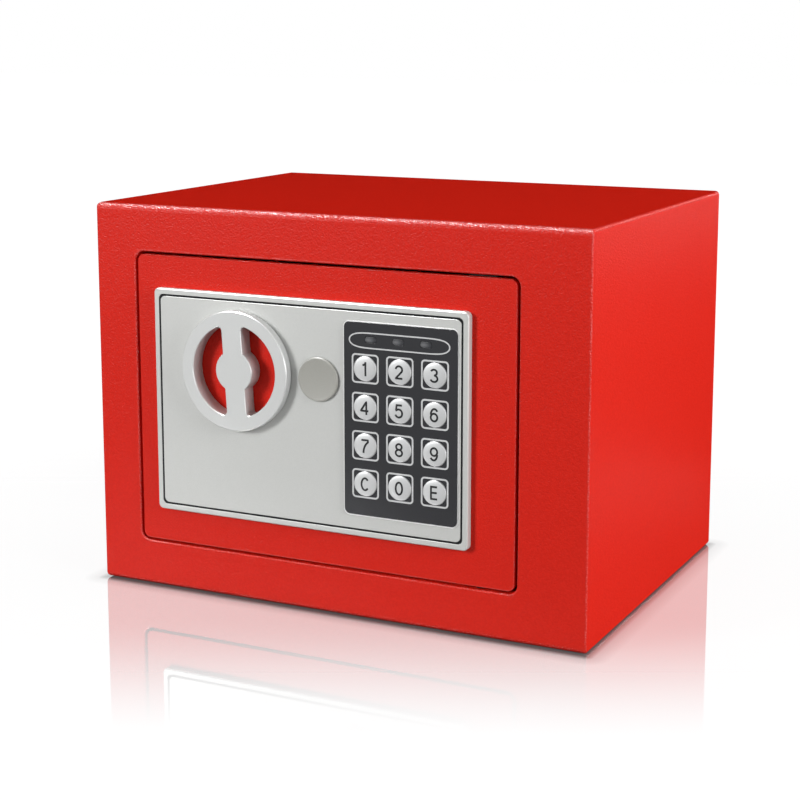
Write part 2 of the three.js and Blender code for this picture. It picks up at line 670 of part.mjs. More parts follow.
// Knob: a disc with two D-shaped windows, and a drum behind it that sits in the fascia's well
function windowShape() {
  const side = BAR_WIDTH / 2;
  const centreX = side + WINDOW_FILLET;
  const reach = WINDOW_RADIUS - WINDOW_FILLET;
  const centreZ = Math.sqrt(reach ** 2 - centreX ** 2);
  const lean = Math.atan2(centreZ, centreX);
  const hub = Math.acos(side / HUB_RADIUS);
  const shape = new THREE.Shape();
  shape.absarc(0, 0, WINDOW_RADIUS, -lean, lean, false);
  shape.absarc(centreX, centreZ, WINDOW_FILLET, lean, Math.PI, false);
  shape.absarc(0, 0, HUB_RADIUS, hub, -hub, true);
  shape.absarc(centreX, -centreZ, WINDOW_FILLET, Math.PI, 2 * Math.PI - lean, false);
  return shape;
}
const KNOB_BACK = OVERLAY_BACK - KNOB_LIFT;
const KNOB_FACE = KNOB_BACK - KNOB_THICKNESS;
function windowCut(turn) {
  const settings = { depth: 3 * KNOB_THICKNESS, bevelEnabled: false, curveSegments: 6 };
  const geometry = new THREE.ExtrudeGeometry(windowShape(), settings);
  geometry.rotateX(Math.PI / 2).rotateY(turn - THREE.MathUtils.degToRad(KNOB_LEAN));
  return solid(geometry.translate(KNOB_X, KNOB_BACK + KNOB_THICKNESS, KNOB_Z));
}
function knob() {
  const radius = KNOB_DIAMETER / 2;
  const profile = [
    [0, KNOB_FACE],
    [radius - KNOB_EDGE, KNOB_FACE],
    [radius - KNOB_EDGE * 0.3, KNOB_FACE + KNOB_EDGE * 0.3],
    [radius, KNOB_FACE + KNOB_EDGE],
    [radius, KNOB_BACK],
    [0, KNOB_BACK],
  ];
  const disc = turned(profile, KNOB_X, KNOB_Z, 56);
  const drum = barY(DRUM_RADIUS, KNOB_BACK - 1, DOOR_FACE - SEAT, KNOB_X, KNOB_Z, 48);
  const bore = barY(SHAFT_DIAMETER / 2 + SEAT, KNOB_FACE + KNOB_SKIN, DOOR_FACE, KNOB_X, KNOB_Z, 24);
  const body = disc.add(drum).subtract(bore);
  return body.subtract(windowCut(0)).subtract(windowCut(Math.PI));
}
place("knob", knob(), silverPlastic);

const SHAFT_TIP = KNOB_FACE + KNOB_SKIN + SEAT;
function knobShaft() {
  return barY(SHAFT_DIAMETER / 2, SHAFT_TIP, CRANK_FRONT - SEAT, KNOB_X, KNOB_Z, 24);
}
place("knob_shaft", knobShaft(), steel);

// The crank on the shaft: its pin swings evenly to both sides of straight up
function knobCrank() {
  const start = THREE.MathUtils.degToRad(CRANK_SWING / 2);
  const pinX = KNOB_X + CRANK_RADIUS * Math.sin(start);
  const pinZ = KNOB_Z + CRANK_RADIUS * Math.cos(start);
  const arm = new THREE.BoxGeometry(CRANK_EYE, CRANK_PLATE, CRANK_RADIUS);
  arm.translate(0, 0, CRANK_RADIUS / 2).rotateY(start);
  arm.translate(KNOB_X, (CRANK_FRONT + CRANK_BACK) / 2, KNOB_Z);
  const hub = barY(CRANK_HUB, CRANK_FRONT, CRANK_BACK, KNOB_X, KNOB_Z);
  const eye = barY(CRANK_EYE / 2, CRANK_FRONT, CRANK_BACK, pinX, pinZ, 24);
  const pin = barY(CRANK_PIN / 2, CRANK_FRONT, CARRIAGE_BACK + PIN_STAND, pinX, pinZ, 24);
  return hub.add(solid(arm)).add(eye).add(pin);
}
place("knob_crank", knobCrank(), steel);

// Bolts and their carriage
function boltCarriage() {
  const slotX = KNOB_X + CRANK_RADIUS * Math.sin(THREE.MathUtils.degToRad(CRANK_SWING / 2));
  const room = CRANK_PIN / 2 + RUN;
  const low = KNOB_Z + CRANK_RADIUS * Math.cos(THREE.MathUtils.degToRad(CRANK_SWING / 2)) - room;
  const high = KNOB_Z + CRANK_RADIUS + room;
  const top = high + CARRIAGE_TOP;
  const y0 = CARRIAGE_FRONT;
  const y1 = CARRIAGE_BACK;
  const plate = block(CARRIAGE_LEFT, CARRIAGE_RIGHT, y0, y1, ARM_BOTTOM, top);
  const armEnd = SOLENOID_X + BOLT_THROW / 2 + TAB_WIDTH / 2;
  const arm = block(CARRIAGE_RIGHT - 1, armEnd, y0, y1, ARM_BOTTOM, ARM_TOP);
  const tabTop = ARM_TOP + TAB_HEIGHT;
  const tab = block(armEnd - TAB_WIDTH, armEnd, y0, y1, ARM_TOP - 1, tabTop);
  const slot = block(slotX - room, slotX + room, y0 - 1, y1 + 1, low, high);
  const left = CARRIAGE_LEFT + BOLT_LAP + CARRIAGE_SIDE;
  const right = CARRIAGE_RIGHT - 4 * CARRIAGE_SIDE;
  const sill = ARM_BOTTOM + BOLT_DIAMETER + 2 * CARRIAGE_SIDE;
  const lightening = block(left, right, y0 - 1, y1 + 1, sill, KNOB_Z - CRANK_RADIUS);
  return plate.add(arm).add(tab).subtract(slot).subtract(lightening);
}
place("bolt_carriage", boltCarriage(), steel);

// A round bolt, lapped where it is riveted to the front of the carriage
function bolt(z) {
  const radius = BOLT_DIAMETER / 2;
  const end = CARRIAGE_LEFT + BOLT_LAP;
  const profile = [
    [0, BOLT_TIP],
    [radius - BOLT_CHAMFER, BOLT_TIP],
    [radius, BOLT_TIP + BOLT_CHAMFER],
    [radius, end],
    [0, end],
  ];
  const points = profile.map(([r, x]) => new THREE.Vector2(r, x));
  const geometry = new THREE.LatheGeometry(points, 32).rotateZ(-Math.PI / 2);
  const round = solid(geometry.translate(0, BOLT_Y, z));
  const x0 = CARRIAGE_LEFT - 1;
  const y0 = CARRIAGE_FRONT - SEAT;
  return round.subtract(block(x0, end + 1, y0, BOLT_Y + radius + 1, z - radius - 1, z + radius + 1));
}
const BOLT_UPPER_Z = OPEN_Z + BOLT_SPREAD / 2;
const BOLT_LOWER_Z = OPEN_Z - BOLT_SPREAD / 2;
place("bolt_upper", bolt(BOLT_UPPER_Z), steel);
place("bolt_lower", bolt(BOLT_LOWER_Z), steel);

// The folded plate on the back of the door that the lock work is built on
function lockChassis() {
  const z0 = COVER_BOTTOM + CHASSIS_MARGIN;
  const z1 = COVER_TOP - CHASSIS_MARGIN;
  const right = COVER_RIGHT - COVER_SHEET - 2 * SEAT;
  const wall = CHASSIS_LEFT + CHASSIS;
  const wallBack = BOLT_Y + BOLT_DIAMETER / 2 + CHASSIS_WALL;
  let body = block(CHASSIS_LEFT, right, CHASSIS_FRONT, CHASSIS_BACK, z0, z1);
  body = body.add(block(CHASSIS_LEFT, wall, CHASSIS_FRONT, wallBack, z0, z1));
  for (const z of [BOLT_UPPER_Z, BOLT_LOWER_Z]) {
    body = body.subtract(barX(BOLT_DIAMETER / 2 + RUN, CHASSIS_LEFT - 1, wall + 1, BOLT_Y, z));
  }
  const shaft = SHAFT_DIAMETER / 2 + RUN;
  body = body.subtract(barY(shaft, CHASSIS_FRONT - 1, CHASSIS_BACK + 1, KNOB_X, KNOB_Z, 24));
  body = body.subtract(
    barY(BARREL_RADIUS + SEAT, CHASSIS_FRONT - 1, CHASSIS_BACK + 1, LOCK_X, LOCK_Z),
  );
  return body.subtract(
    barY(LEAD_HOLE / 2, CHASSIS_FRONT - 1, CHASSIS_BACK + 1, LEAD_X, LEAD_Z, 16),
  );
}
place("lock_chassis", lockChassis(), steel);

// Solenoid: a folded frame, the coil in it, and the spring that pushes the plunger out
const PLUNGER_BORE = PLUNGER_DIAMETER / 2 + RUN;
function solenoidFrame() {
  const half = SOLENOID_WIDTH / 2;
  const x0 = SOLENOID_X - half;
  const x1 = SOLENOID_X + half;
  const y0 = CHASSIS_BACK + SEAT;
  const y1 = BOLT_Y + half;
  const z0 = SOLENOID_BOTTOM;
  const z1 = SOLENOID_TOP;
  let frame = block(x0, x1, y0, y0 + SOLENOID_PLATE, z0, z1);
  frame = frame.add(block(x0, x1, y0, y1, z0, z0 + SOLENOID_PLATE));
  frame = frame.add(block(x0, x1, y0, y1, z1 - SOLENOID_PLATE, z1));
  return frame.subtract(barZ(PLUNGER_BORE, z0 - 1, z1 + 1, SOLENOID_X, BOLT_Y));
}
function solenoidCoil() {
  const z0 = SOLENOID_BOTTOM + SOLENOID_PLATE + SEAT;
  const z1 = SOLENOID_TOP - SOLENOID_PLATE - SEAT;
  const coil = barZ(COIL_DIAMETER / 2, z0, z1, SOLENOID_X, BOLT_Y, 32);
  return coil.subtract(barZ(PLUNGER_BORE, z0 - 1, z1 + 1, SOLENOID_X, BOLT_Y));
}
function plungerSpring() {
  const radius = (PLUNGER_DIAMETER + SPRING_WIRE) / 2 + 2 * SEAT;
  const low = COLLAR_TOP + SEAT + SPRING_WIRE / 2;
  const high = SOLENOID_BOTTOM - SEAT - SPRING_WIRE / 2;
  class Helix extends THREE.Curve {
    getPoint(t, target = new THREE.Vector3()) {
      const angle = t * SPRING_TURNS * 2 * Math.PI;
      const x = SOLENOID_X + radius * Math.cos(angle);
      const y = BOLT_Y + radius * Math.sin(angle);
      return target.set(x, y, low + (high - low) * t);
    }
  }
  const wire = new THREE.Shape();
  wire.absarc(0, 0, SPRING_WIRE / 2, 0, 2 * Math.PI, false);
  const settings = { steps: SPRING_TURNS * 8, curveSegments: 5, extrudePath: new Helix() };
  return solid(new THREE.ExtrudeGeometry(wire, settings));
}
place("solenoid_frame", solenoidFrame(), steel);
place("solenoid_coil", solenoidCoil(), copper);
place("plunger_spring", plungerSpring(), steel);

// The plunger: a pin that stands in the carriage's way, and a stem up to the release collar
const RELEASE_BOTTOM = LOCK_Z + CAM_WIDTH / 2 + SEAT + PLUNGER_STROKE;
function plunger() {
  const x = SOLENOID_X;
  const pin = barZ(PLUNGER_DIAMETER / 2, PLUNGER_TIP, SOLENOID_TOP - STEM_ROOT, x, BOLT_Y);
  const collar = barZ(PLUNGER_COLLAR / 2, COLLAR_TOP - COLLAR_THICKNESS, COLLAR_TOP, x, BOLT_Y);
  const stem = barZ(STEM_DIAMETER / 2, SOLENOID_TOP - STEM_ROOT - 1, RELEASE_BOTTOM + 1, x, BOLT_Y);
  const release = barZ(RELEASE_COLLAR / 2, RELEASE_BOTTOM, RELEASE_BOTTOM + RELEASE_THICKNESS, x, BOLT_Y);
  return pin.add(collar).add(stem).add(release);
}
place("plunger", plunger(), steel);

// Emergency lock
const LOCK_FACE = DOOR_FACE - BACKING - SEAT;
const BARREL_END = DOOR_BACK + BARREL_LENGTH - DOOR_THICKNESS;
function lockBarrel() {
  const barrel = barY(BARREL_RADIUS, LOCK_FACE, BARREL_END, LOCK_X, LOCK_Z, 40);
  const bore = barY(PLUG_RADIUS + RUN, LOCK_FACE - 1, BARREL_END + 1, LOCK_X, LOCK_Z);
  return barrel.subtract(bore);
}
function lockNut() {
  const y0 = CHASSIS_BACK + SEAT;
  const nut = barY(NUT_RADIUS, y0, y0 + NUT_THICKNESS, LOCK_X, LOCK_Z, 6);
  return nut.subtract(barY(BARREL_RADIUS + SEAT, y0 - 1, y0 + NUT_THICKNESS + 1, LOCK_X, LOCK_Z));
}
function lockPlug() {
  const plug = barY(PLUG_RADIUS, LOCK_FACE + 0.2, BARREL_END + SEAT, LOCK_X, LOCK_Z);
  const x0 = LOCK_X - KEYWAY_WIDTH / 2;
  const z0 = LOCK_Z - KEYWAY_HEIGHT / 2;
  const y1 = LOCK_FACE + KEYWAY_DEPTH;
  return plug.subtract(
    block(x0, x0 + KEYWAY_WIDTH, LOCK_FACE - 1, y1, z0, z0 + KEYWAY_HEIGHT),
  );
}
function lockCam() {
  const y0 = BARREL_END + 2 * SEAT;
  const y1 = y0 + CAM_THICKNESS;
  const half = CAM_WIDTH / 2;
  const arm = block(LOCK_X - half, LOCK_X + half, y0, y1, LOCK_Z - CAM_ARM, LOCK_Z);
  return arm.add(barY(PLUG_RADIUS + 1, y0, y1, LOCK_X, LOCK_Z));
}
place("lock_barrel", lockBarrel(), brass);
place("lock_nut", lockNut(), steel);
place("lock_plug", lockPlug(), brass);
place("lock_cam", lockCam(), steel);

// The round cap pushed into the fascia over the lock
function lockCap() {
  const radius = CAP_DIAMETER / 2;
  const face = OVERLAY_BACK - CAP_THICKNESS;
  const skirtEnd = LOCK_FACE - SEAT;
  const profile = [
    [0, face],
    [radius - CAP_EDGE, face],
    [radius, face + CAP_EDGE],
    [radius, OVERLAY_BACK],
    [CAP_SKIRT, OVERLAY_BACK],
    [CAP_SKIRT, skirtEnd],
    [CAP_SKIRT - CAP_WALL, skirtEnd],
    [CAP_SKIRT - CAP_WALL, OVERLAY_BACK],
    [0, OVERLAY_BACK],
  ];
  return turned(profile, LOCK_X, LOCK_Z, 32);
}
place("lock_cap", lockCap(), greyCap);

// Battery box with four cells, open to the back under its lid
function batteryBox() {
  const x0 = BOX_X - BOX_LENGTH / 2;
  const z0 = BOX_Z - BOX_HEIGHT / 2;
  const y0 = BOX_BACK - BOX_DEPTH;
  const outside = block(x0, x0 + BOX_LENGTH, y0, BOX_BACK, z0, z0 + BOX_HEIGHT);
  const inside = block(
    x0 + BOX_WALL,
    x0 + BOX_LENGTH - BOX_WALL,
    y0 + BOX_WALL,
    BOX_BACK + 1,
    z0 + BOX_WALL,
    z0 + BOX_HEIGHT - BOX_WALL,
  );
  return outside.subtract(inside);
}
place("battery_box", batteryBox(), black);

function cell(number) {
  const z = BOX_Z + (number - 1.5) * CELL_PITCH;
  const way = number % 2 === 0 ? 1 : -1;
  const half = CELL_LENGTH / 2;
  const body = barX(CELL_DIAMETER / 2, BOX_X - half, BOX_X + half, CELL_Y, z, 24);
  const ends = [BOX_X + way * (half - 1), BOX_X + way * (half + CELL_NUB_LENGTH)];
  ends.sort((a, b) => a - b);
  return body.add(barX(CELL_NUB / 2, ends[0], ends[1], CELL_Y, z, 16));
}
for (let number = 0; number < 4; number += 1) {
  place("battery_" + (number + 1), cell(number), cellJacket);
}

// The lead from the keypad board through the door to the battery box
function batteryLead() {
  const boxTop = BOX_Z + BOX_HEIGHT / 2;
  const boxY = BOX_BACK - BOX_DEPTH / 2;
  const bend = LEAD_DIAMETER * 1.6;
  const path = new THREE.CurvePath();
  const start = new THREE.Vector3(LEAD_X, DOOR_FACE + SEAT, LEAD_Z);
  const turn = new THREE.Vector3(LEAD_X, boxY, LEAD_Z);
  const end = new THREE.Vector3(LEAD_X, boxY, boxTop + SEAT);
  const before = turn.clone().add(new THREE.Vector3(0, -bend, 0));
  const after = turn.clone().add(new THREE.Vector3(0, 0, -bend));
  path.add(new THREE.LineCurve3(start, before));
  path.add(new THREE.QuadraticBezierCurve3(before, turn, after));
  path.add(new THREE.LineCurve3(after, end));
  const wire = new THREE.Shape();
  wire.absarc(0, 0, LEAD_DIAMETER / 2, 0, 2 * Math.PI, false);
  const settings = { steps: 20, curveSegments: 4, extrudePath: path };
  return solid(new THREE.ExtrudeGeometry(wire, settings));
}
place("battery_lead", batteryLead(), black);

// The cover that closes the lock work from inside the safe
const LID_X0 = BOX_X - BOX_LENGTH / 2 + BOX_WALL;
const LID_X1 = BOX_X + BOX_LENGTH / 2 - BOX_WALL;
const LID_Z0 = BOX_Z - BOX_HEIGHT / 2 + BOX_WALL;
const LID_Z1 = BOX_Z + BOX_HEIGHT / 2 - BOX_WALL;
const RESET_X = COVER_RIGHT - RESET_INSET_X;
const RESET_Z = COVER_TOP - RESET_INSET_Z;
const SCREWS = [
  ["cover_screw_upper", COVER_LEFT + SCREW_SIDE, COVER_TOP - SCREW_SIDE],
  ["cover_screw_lower", COVER_LEFT + SCREW_SIDE, COVER_BOTTOM + SCREW_SIDE],
];
function innerCover() {
  const width = COVER_RIGHT - COVER_LEFT;
  const height = COVER_TOP - COVER_BOTTOM;
  const x = (COVER_LEFT + COVER_RIGHT) / 2;
  const z = (COVER_BOTTOM + COVER_TOP) / 2;
  const front = DOOR_BACK + SEAT;
  const outside = layered(x, z, width, height, COVER_BEND, [
    [front, 0],
    [COVER_BACK - 1, 0],
    [COVER_BACK - 0.3, 0.3],
    [COVER_BACK, 1],
  ]);
  const innerWidth = width - 2 * COVER_SHEET;
  const innerHeight = height - 2 * COVER_SHEET;
  const hollow = straight(front - 1, COVER_INSIDE);
  const inside = layered(x, z, innerWidth, innerHeight, COVER_BEND - COVER_SHEET, hollow);
  let cover = outside.subtract(inside);
  for (const boltZ of [BOLT_UPPER_Z, BOLT_LOWER_Z]) {
    const hole = BOLT_DIAMETER / 2 + 2 * RUN;
    cover = cover.subtract(barX(hole, COVER_LEFT - 1, CHASSIS_LEFT, BOLT_Y, boltZ));
  }
  cover = cover.subtract(block(LID_X0, LID_X1, COVER_INSIDE - 1, COVER_BACK + 1, LID_Z0, LID_Z1));
  const reset = RESET_DIAMETER / 2 + RUN;
  cover = cover.subtract(
    barY(reset, COVER_INSIDE - 1, COVER_BACK + 1, RESET_X, RESET_Z, 24),
  );
  for (const [, screwX, screwZ] of SCREWS) {
    const hole = SCREW_SHANK / 2 + SEAT;
    cover = cover.subtract(
      barY(hole, COVER_INSIDE - 1, COVER_BACK + 1, screwX, screwZ, 16),
    );
  }
  return cover;
}
place("inner_cover", innerCover(), charcoal);

function coverScrew(x, z) {
  const head = COVER_BACK + SEAT;
  const radius = SCREW_HEAD / 2;
  const profile = [
    [0, COVER_INSIDE - SCREW_LENGTH],
    [SCREW_SHANK / 2, COVER_INSIDE - SCREW_LENGTH],
    [SCREW_SHANK / 2, head],
    [radius, head],
    [radius, head + SCREW_RIM],
    [radius * 0.7, head + SCREW_DOME],
    [0, head + SCREW_CROWN],
  ];
  const slot = (w, h) => block(x - w / 2, x + w / 2, head + 1, head + 4, z - h / 2, z + h / 2);
  const upright = slot(SCREW_RIM, SCREW_CROSS);
  const level = slot(SCREW_CROSS, SCREW_RIM);
  return turned(profile, x, z, 24).subtract(upright).subtract(level);
}
for (const [name, x, z] of SCREWS) {
  place(name, coverScrew(x, z), steel);
}

// The battery lid: a plate over the opening with a step that fits inside it
function batteryLid() {
  const y0 = COVER_BACK + SEAT;
  const y1 = y0 + LID_THICKNESS;
  const lap = LID_LAP;
  const plate = block(LID_X0 - lap, LID_X1 + lap - LID_CLEAR, y0, y1, LID_Z0 - lap, LID_Z1 + lap);
  const fit = SEAT;
  const step = block(
    LID_X0 + fit,
    LID_X1 - fit,
    COVER_BACK - COVER_SHEET + SEAT,
    y0 + 0.5,
    LID_Z0 + fit,
    LID_Z1 - fit,
  );
  return plate.add(step);
}
place("battery_lid", batteryLid(), charcoal);

function resetButton() {
  const profile = [
    [0, COVER_INSIDE - RESET_FOOT],
    [RESET_FLANGE / 2, COVER_INSIDE - RESET_FOOT],
    [RESET_FLANGE / 2, COVER_INSIDE - SEAT],
    [RESET_DIAMETER / 2, COVER_INSIDE - SEAT],
    [RESET_DIAMETER / 2, COVER_BACK + RESET_RISE - RESET_EDGE],
    [RESET_DIAMETER / 2 - RESET_EDGE, COVER_BACK + RESET_RISE],
    [0, COVER_BACK + RESET_RISE],
  ];
  return turned(profile, RESET_X, RESET_Z, 28);
}
place("reset_button", resetButton(), resetRed);

export default safe;
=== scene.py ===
# %% [markdown]
# # A small digital home safe
# The object is a folded steel cabinet with a powder coat, a flush door that swings on hidden
# pins, and a silver moulded fascia with a turning knob, a round cap and a keypad.
# The CAD frame gives every place and every joint. This lesson builds the finer surfaces on it:
# rounded sheet-metal folds, domed keys, printed lines, and finishes made of nodes.

# %% Load the frame
import math

import bmesh
import bpy
import numpy as np
from mathutils import Matrix, Vector
from mathutils.geometry import tessellate_polygon


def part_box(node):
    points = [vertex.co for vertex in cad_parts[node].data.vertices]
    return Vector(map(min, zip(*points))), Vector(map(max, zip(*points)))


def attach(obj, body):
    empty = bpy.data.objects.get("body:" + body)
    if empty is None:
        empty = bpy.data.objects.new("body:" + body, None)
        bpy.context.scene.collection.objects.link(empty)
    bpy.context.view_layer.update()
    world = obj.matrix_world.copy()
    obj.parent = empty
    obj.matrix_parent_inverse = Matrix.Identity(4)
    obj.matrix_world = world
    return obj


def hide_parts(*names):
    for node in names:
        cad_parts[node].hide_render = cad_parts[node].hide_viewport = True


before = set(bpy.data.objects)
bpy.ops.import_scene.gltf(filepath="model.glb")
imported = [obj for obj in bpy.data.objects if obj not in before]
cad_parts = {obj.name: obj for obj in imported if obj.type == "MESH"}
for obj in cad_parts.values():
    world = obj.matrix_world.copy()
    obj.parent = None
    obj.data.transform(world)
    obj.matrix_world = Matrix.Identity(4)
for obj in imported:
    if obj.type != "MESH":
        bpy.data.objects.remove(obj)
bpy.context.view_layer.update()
MM = 0.001


def placed(name, data):
    """A new object in the scene, made of this mesh, camera or lamp."""
    thing = bpy.data.objects.new(name, data)
    bpy.context.scene.collection.objects.link(thing)
    return thing


# %% [markdown]
# ## Camera
# The camera comes first, because every later choice is judged through it. Its place and lens
# were solved from the corners of the cabinet. A small shift keeps the upright edges upright
# without tipping the camera much.

# %% Place the camera
CAMERA_PLACE = (0.344, -0.7165, 0.2485)
CAMERA_YAW = 26.22
CAMERA_PITCH = 9.65
LENS = 79.55
SHIFT_Y = -0.1

camera_data = bpy.data.cameras.new("camera")
camera_data.sensor_width = 36.0
camera_data.lens = LENS
camera_data.shift_y = SHIFT_Y
camera = placed("camera", camera_data)
camera.location = CAMERA_PLACE
camera.rotation_euler = (math.radians(90 - CAMERA_PITCH), 0, math.radians(CAMERA_YAW))
bpy.context.scene.camera = camera
bpy.context.scene.view_settings.view_transform = "Standard"
print("camera", CAMERA_PLACE, "lens", LENS)

# %% [markdown]
# ## Nodes for the finishes
# A finish is a small graph of nodes that ends in one Principled shader. The helpers below add
# nodes and join them. Patterns read Object coordinates, which stay with a piece as it moves.

# %% Nodes and numbers
def feed(tree, value, socket):
    """Joins another node's output to a socket, or sets the socket to a plain value."""
    if isinstance(value, bpy.types.NodeSocket):
        tree.links.new(value, socket)
    else:
        socket.default_value = value


def add(tree, kind, *values, **settings):
    """A node of that kind. The values feed its first inputs. A setting that is an input's name
    feeds that input, and any other is set on the node."""
    node = tree.nodes.new("ShaderNode" + kind)
    for key, value in settings.items():
        label = key.replace("_", " ").title()
        if label in node.inputs:
            feed(tree, value, node.inputs[label])
        else:
            setattr(node, key, value)
    for value, socket in zip(values, node.inputs):
        feed(tree, value, socket)
    return node


def math_node(tree, operation, *values):
    """A sum, product or other result of plain values."""
    return add(tree, "Math", *values, operation=operation).outputs["Value"]


def vector_node(tree, operation, *values, result="Vector"):
    """A sum, product or other result of vectors."""
    return add(tree, "VectorMath", *values, operation=operation).outputs[result]


def spread(tree, value, low, high, to_low=0.0, to_high=1.0, curve="LINEAR"):
    """The value from low to high carried onto to_low to to_high, and held there."""
    node = add(tree, "MapRange", value, low, high, to_low, to_high, interpolation_type=curve)
    return node.outputs["Result"]


def object_coordinates(tree, stretch=(1, 1, 1)):
    """Object coordinates, stretched along the axes of the frame."""
    place = add(tree, "TexCoord").outputs["Object"]
    return add(tree, "Mapping", vector=place, scale=stretch).outputs["Vector"]


def noise(tree, waves, detail=2.0, roughness=0.5, stretch=(1, 1, 1)):
    """Soft random values between 0 and 1, with that many waves to a metre."""
    vector = object_coordinates(tree, stretch)
    node = add(tree, "TexNoise", vector=vector, scale=waves, detail=detail, roughness=roughness)
    return node.outputs["Fac"]


# %% Colour, gloss and relief
NOISE_RANGE = (0.3, 0.7)


def new_finish(name, color, roughness, metallic=0.0, **sockets):
    """A material with one Principled shader; color is linear red, green and blue."""
    material = bpy.data.materials.new(name)
    material.use_nodes = True
    tree = material.node_tree
    shader = tree.nodes["Principled BSDF"]
    sockets.update(Base_Color=(*color, 1), Roughness=roughness, Metallic=metallic)
    for socket, value in sockets.items():
        shader.inputs[socket.replace("_", " ")].default_value = value
    return material, tree, shader


def tint(tree, shader, share, first, second):
    """Gives the shader the first colour where share is 0 and the second where it is 1."""
    mix = add(tree, "Mix", data_type="RGBA", factor=share, a=(*first, 1), b=(*second, 1))
    color = next(s for s in mix.outputs if s.type == "RGBA")
    tree.links.new(color, shader.inputs["Base Color"])


def uneven_gloss(tree, shader, grain, low, high):
    """Roughness that drifts from low to high with a noise."""
    tree.links.new(spread(tree, grain, *NOISE_RANGE, low, high), shader.inputs["Roughness"])


def relief(tree, shader, height, depth):
    """Bump of that depth in metres from a height between 0 and 1. Returns the bent normal."""
    bump = add(tree, "Bump", strength=1.0, distance=depth, height=height)
    tree.links.new(bump.outputs["Normal"], shader.inputs["Normal"])
    return bump.outputs["Normal"]


# %% [markdown]
# ## Powder coat
# Powder paint melts on the hot steel into a tough skin with a fine orange peel. On the flat
# faces it looks matt and deep. Where the sheet is folded the skin is stretched and shines, and
# the peel breaks that shine up into specks. So the paint is a matt base under a clear coat. The
# coat's weight follows a mesh attribute called fold, and it dies away where the eye grazes the
# sheet, as the shine of rough paint does.

# %% Powder coat
RED = (0.620, 0.0165, 0.0080)
RED_DEEP = (0.570, 0.0140, 0.0068)
PEEL_WAVES, SPECK_WAVES = 1300, 1700
PEEL_DEPTH = 0.00012
FOLD_RELIEF = 3.0
FLAT_SHINE, FOLD_SHINE = 0.22, 1.0
SPARKLE_LIMITS, LEAST_SPARKLE = (0.98, 1.08), 0.1
GRAZING_LIMITS = (0.25, 0.80)
FULL_TILT = 0.12


def powder_coat(name):
    """Red paint whose colour and height follow two noises: a wide one for the peel and a fine
    one for the specks."""
    material, tree, shader = new_finish(
        name, RED, 0.55, Specular_IOR_Level=0.0, Coat_Roughness=0.30, Coat_IOR=1.5
    )
    peel = noise(tree, PEEL_WAVES, 2.0, 0.55)
    both = math_node(tree, "ADD", peel, noise(tree, SPECK_WAVES, 1.0))
    tint(tree, shader, spread(tree, peel, 0.35, 0.65), RED_DEEP, RED)
    fold = add(tree, "Attribute", attribute_name="fold").outputs["Fac"]
    height = math_node(tree, "MULTIPLY", both, spread(tree, fold, 0, 1, 1, FOLD_RELIEF))
    tree.links.new(relief(tree, shader, height, PEEL_DEPTH), shader.inputs["Coat Normal"])
    sparkle = spread(tree, both, *SPARKLE_LIMITS, LEAST_SPARKLE, 1)
    lit_fold = math_node(tree, "MULTIPLY", fold, sparkle)
    shine = spread(tree, lit_fold, 0, 1, FLAT_SHINE, FOLD_SHINE)
    facing = add(tree, "LayerWeight").outputs["Facing"]
    calm = spread(tree, facing, *GRAZING_LIMITS, 1, 0)
    tree.links.new(math_node(tree, "MULTIPLY", shine, calm), shader.inputs["Coat Weight"])
    return material


def mark_folds(piece):
    """Stores the attribute fold at each vertex: nought where the face is square to an axis, and
    one where its normal stands well away from every axis, along the middle of a bend."""
    mesh = piece.data
    normals = np.empty(len(mesh.vertices) * 3)
    mesh.vertex_normals.foreach_get("vector", normals)
    tilt = 1 - np.abs(normals.reshape(-1, 3)).max(axis=1)
    fold = mesh.attributes.new("fold", "FLOAT", "POINT")
    fold.data.foreach_set("value", np.clip(tilt / FULL_TILT, 0, 1))


red_coat = powder_coat("red powder coat")
print("red", RED)

# %% [markdown]
# ## Moulded plastics
# The fascia and knob are plastic with a silver paint: fine flakes, a satin gloss, no grain that
# the eye can follow. The keys' paint holds more metal. The cap is a warm grey, the overlay a
# charcoal film, and the backing sheet a satin black.

# %% Plastics
FINE = 0.00001


def moulded(name, color, roughness, fleck, depth=FINE, waves=2600, metallic=0.0, shine=0.5):
    """Plastic with flecks of lighter and darker tone and a relief of that depth."""
    finish = new_finish(name, color, roughness, metallic, Specular_IOR_Level=shine)
    material, tree, shader = finish
    grain = noise(tree, waves, 2.0, 0.6)
    dark = tuple(c * (1 - fleck) for c in color)
    light = tuple(min(1.0, c * (1 + fleck)) for c in color)
    tint(tree, shader, spread(tree, grain, *NOISE_RANGE), dark, light)
    uneven_gloss(tree, shader, grain, roughness * 0.9, roughness * 1.1)
    relief(tree, shader, grain, depth)
    return material


silver = moulded(
    "silver fascia paint", (0.466, 0.472, 0.458), 0.44, 0.03, metallic=0.15, shine=0.3
)
silver_knob = moulded("silver knob paint", (0.488, 0.496, 0.490), 0.34, 0.015, metallic=0.25)
silver_key = moulded("silver key paint", (0.430, 0.435, 0.438), 0.44, 0.03, 0.000004, metallic=0.3)
warm_grey = moulded("warm grey cap", (0.305, 0.302, 0.275), 0.40, 0.03)
charcoal_film = moulded("charcoal film", (0.0195, 0.0200, 0.0230), 0.22, 0.06, shine=0.25)
black_sheet = moulded("black backing", (0.004, 0.004, 0.005), 0.50, 0.10, shine=0.12)
black_moulded = moulded("black moulding", (0.012, 0.012, 0.013), 0.50, 0.20, 0.00004, 1100)
button_red = moulded("button red", (0.560, 0.012, 0.010), 0.32, 0.03)
sleeve = moulded("wire sleeve", (0.010, 0.010, 0.011), 0.42, 0.10)
# Lighter than the fascia's silver: partly the base's own grey, partly a painted highlight on its
# edge.
pale_base_and_painted_highlight = moulded("keypad base lightened as painted highlight", (0.780, 0.785, 0.780), 0.30, 0.02)
print("plastics ready")
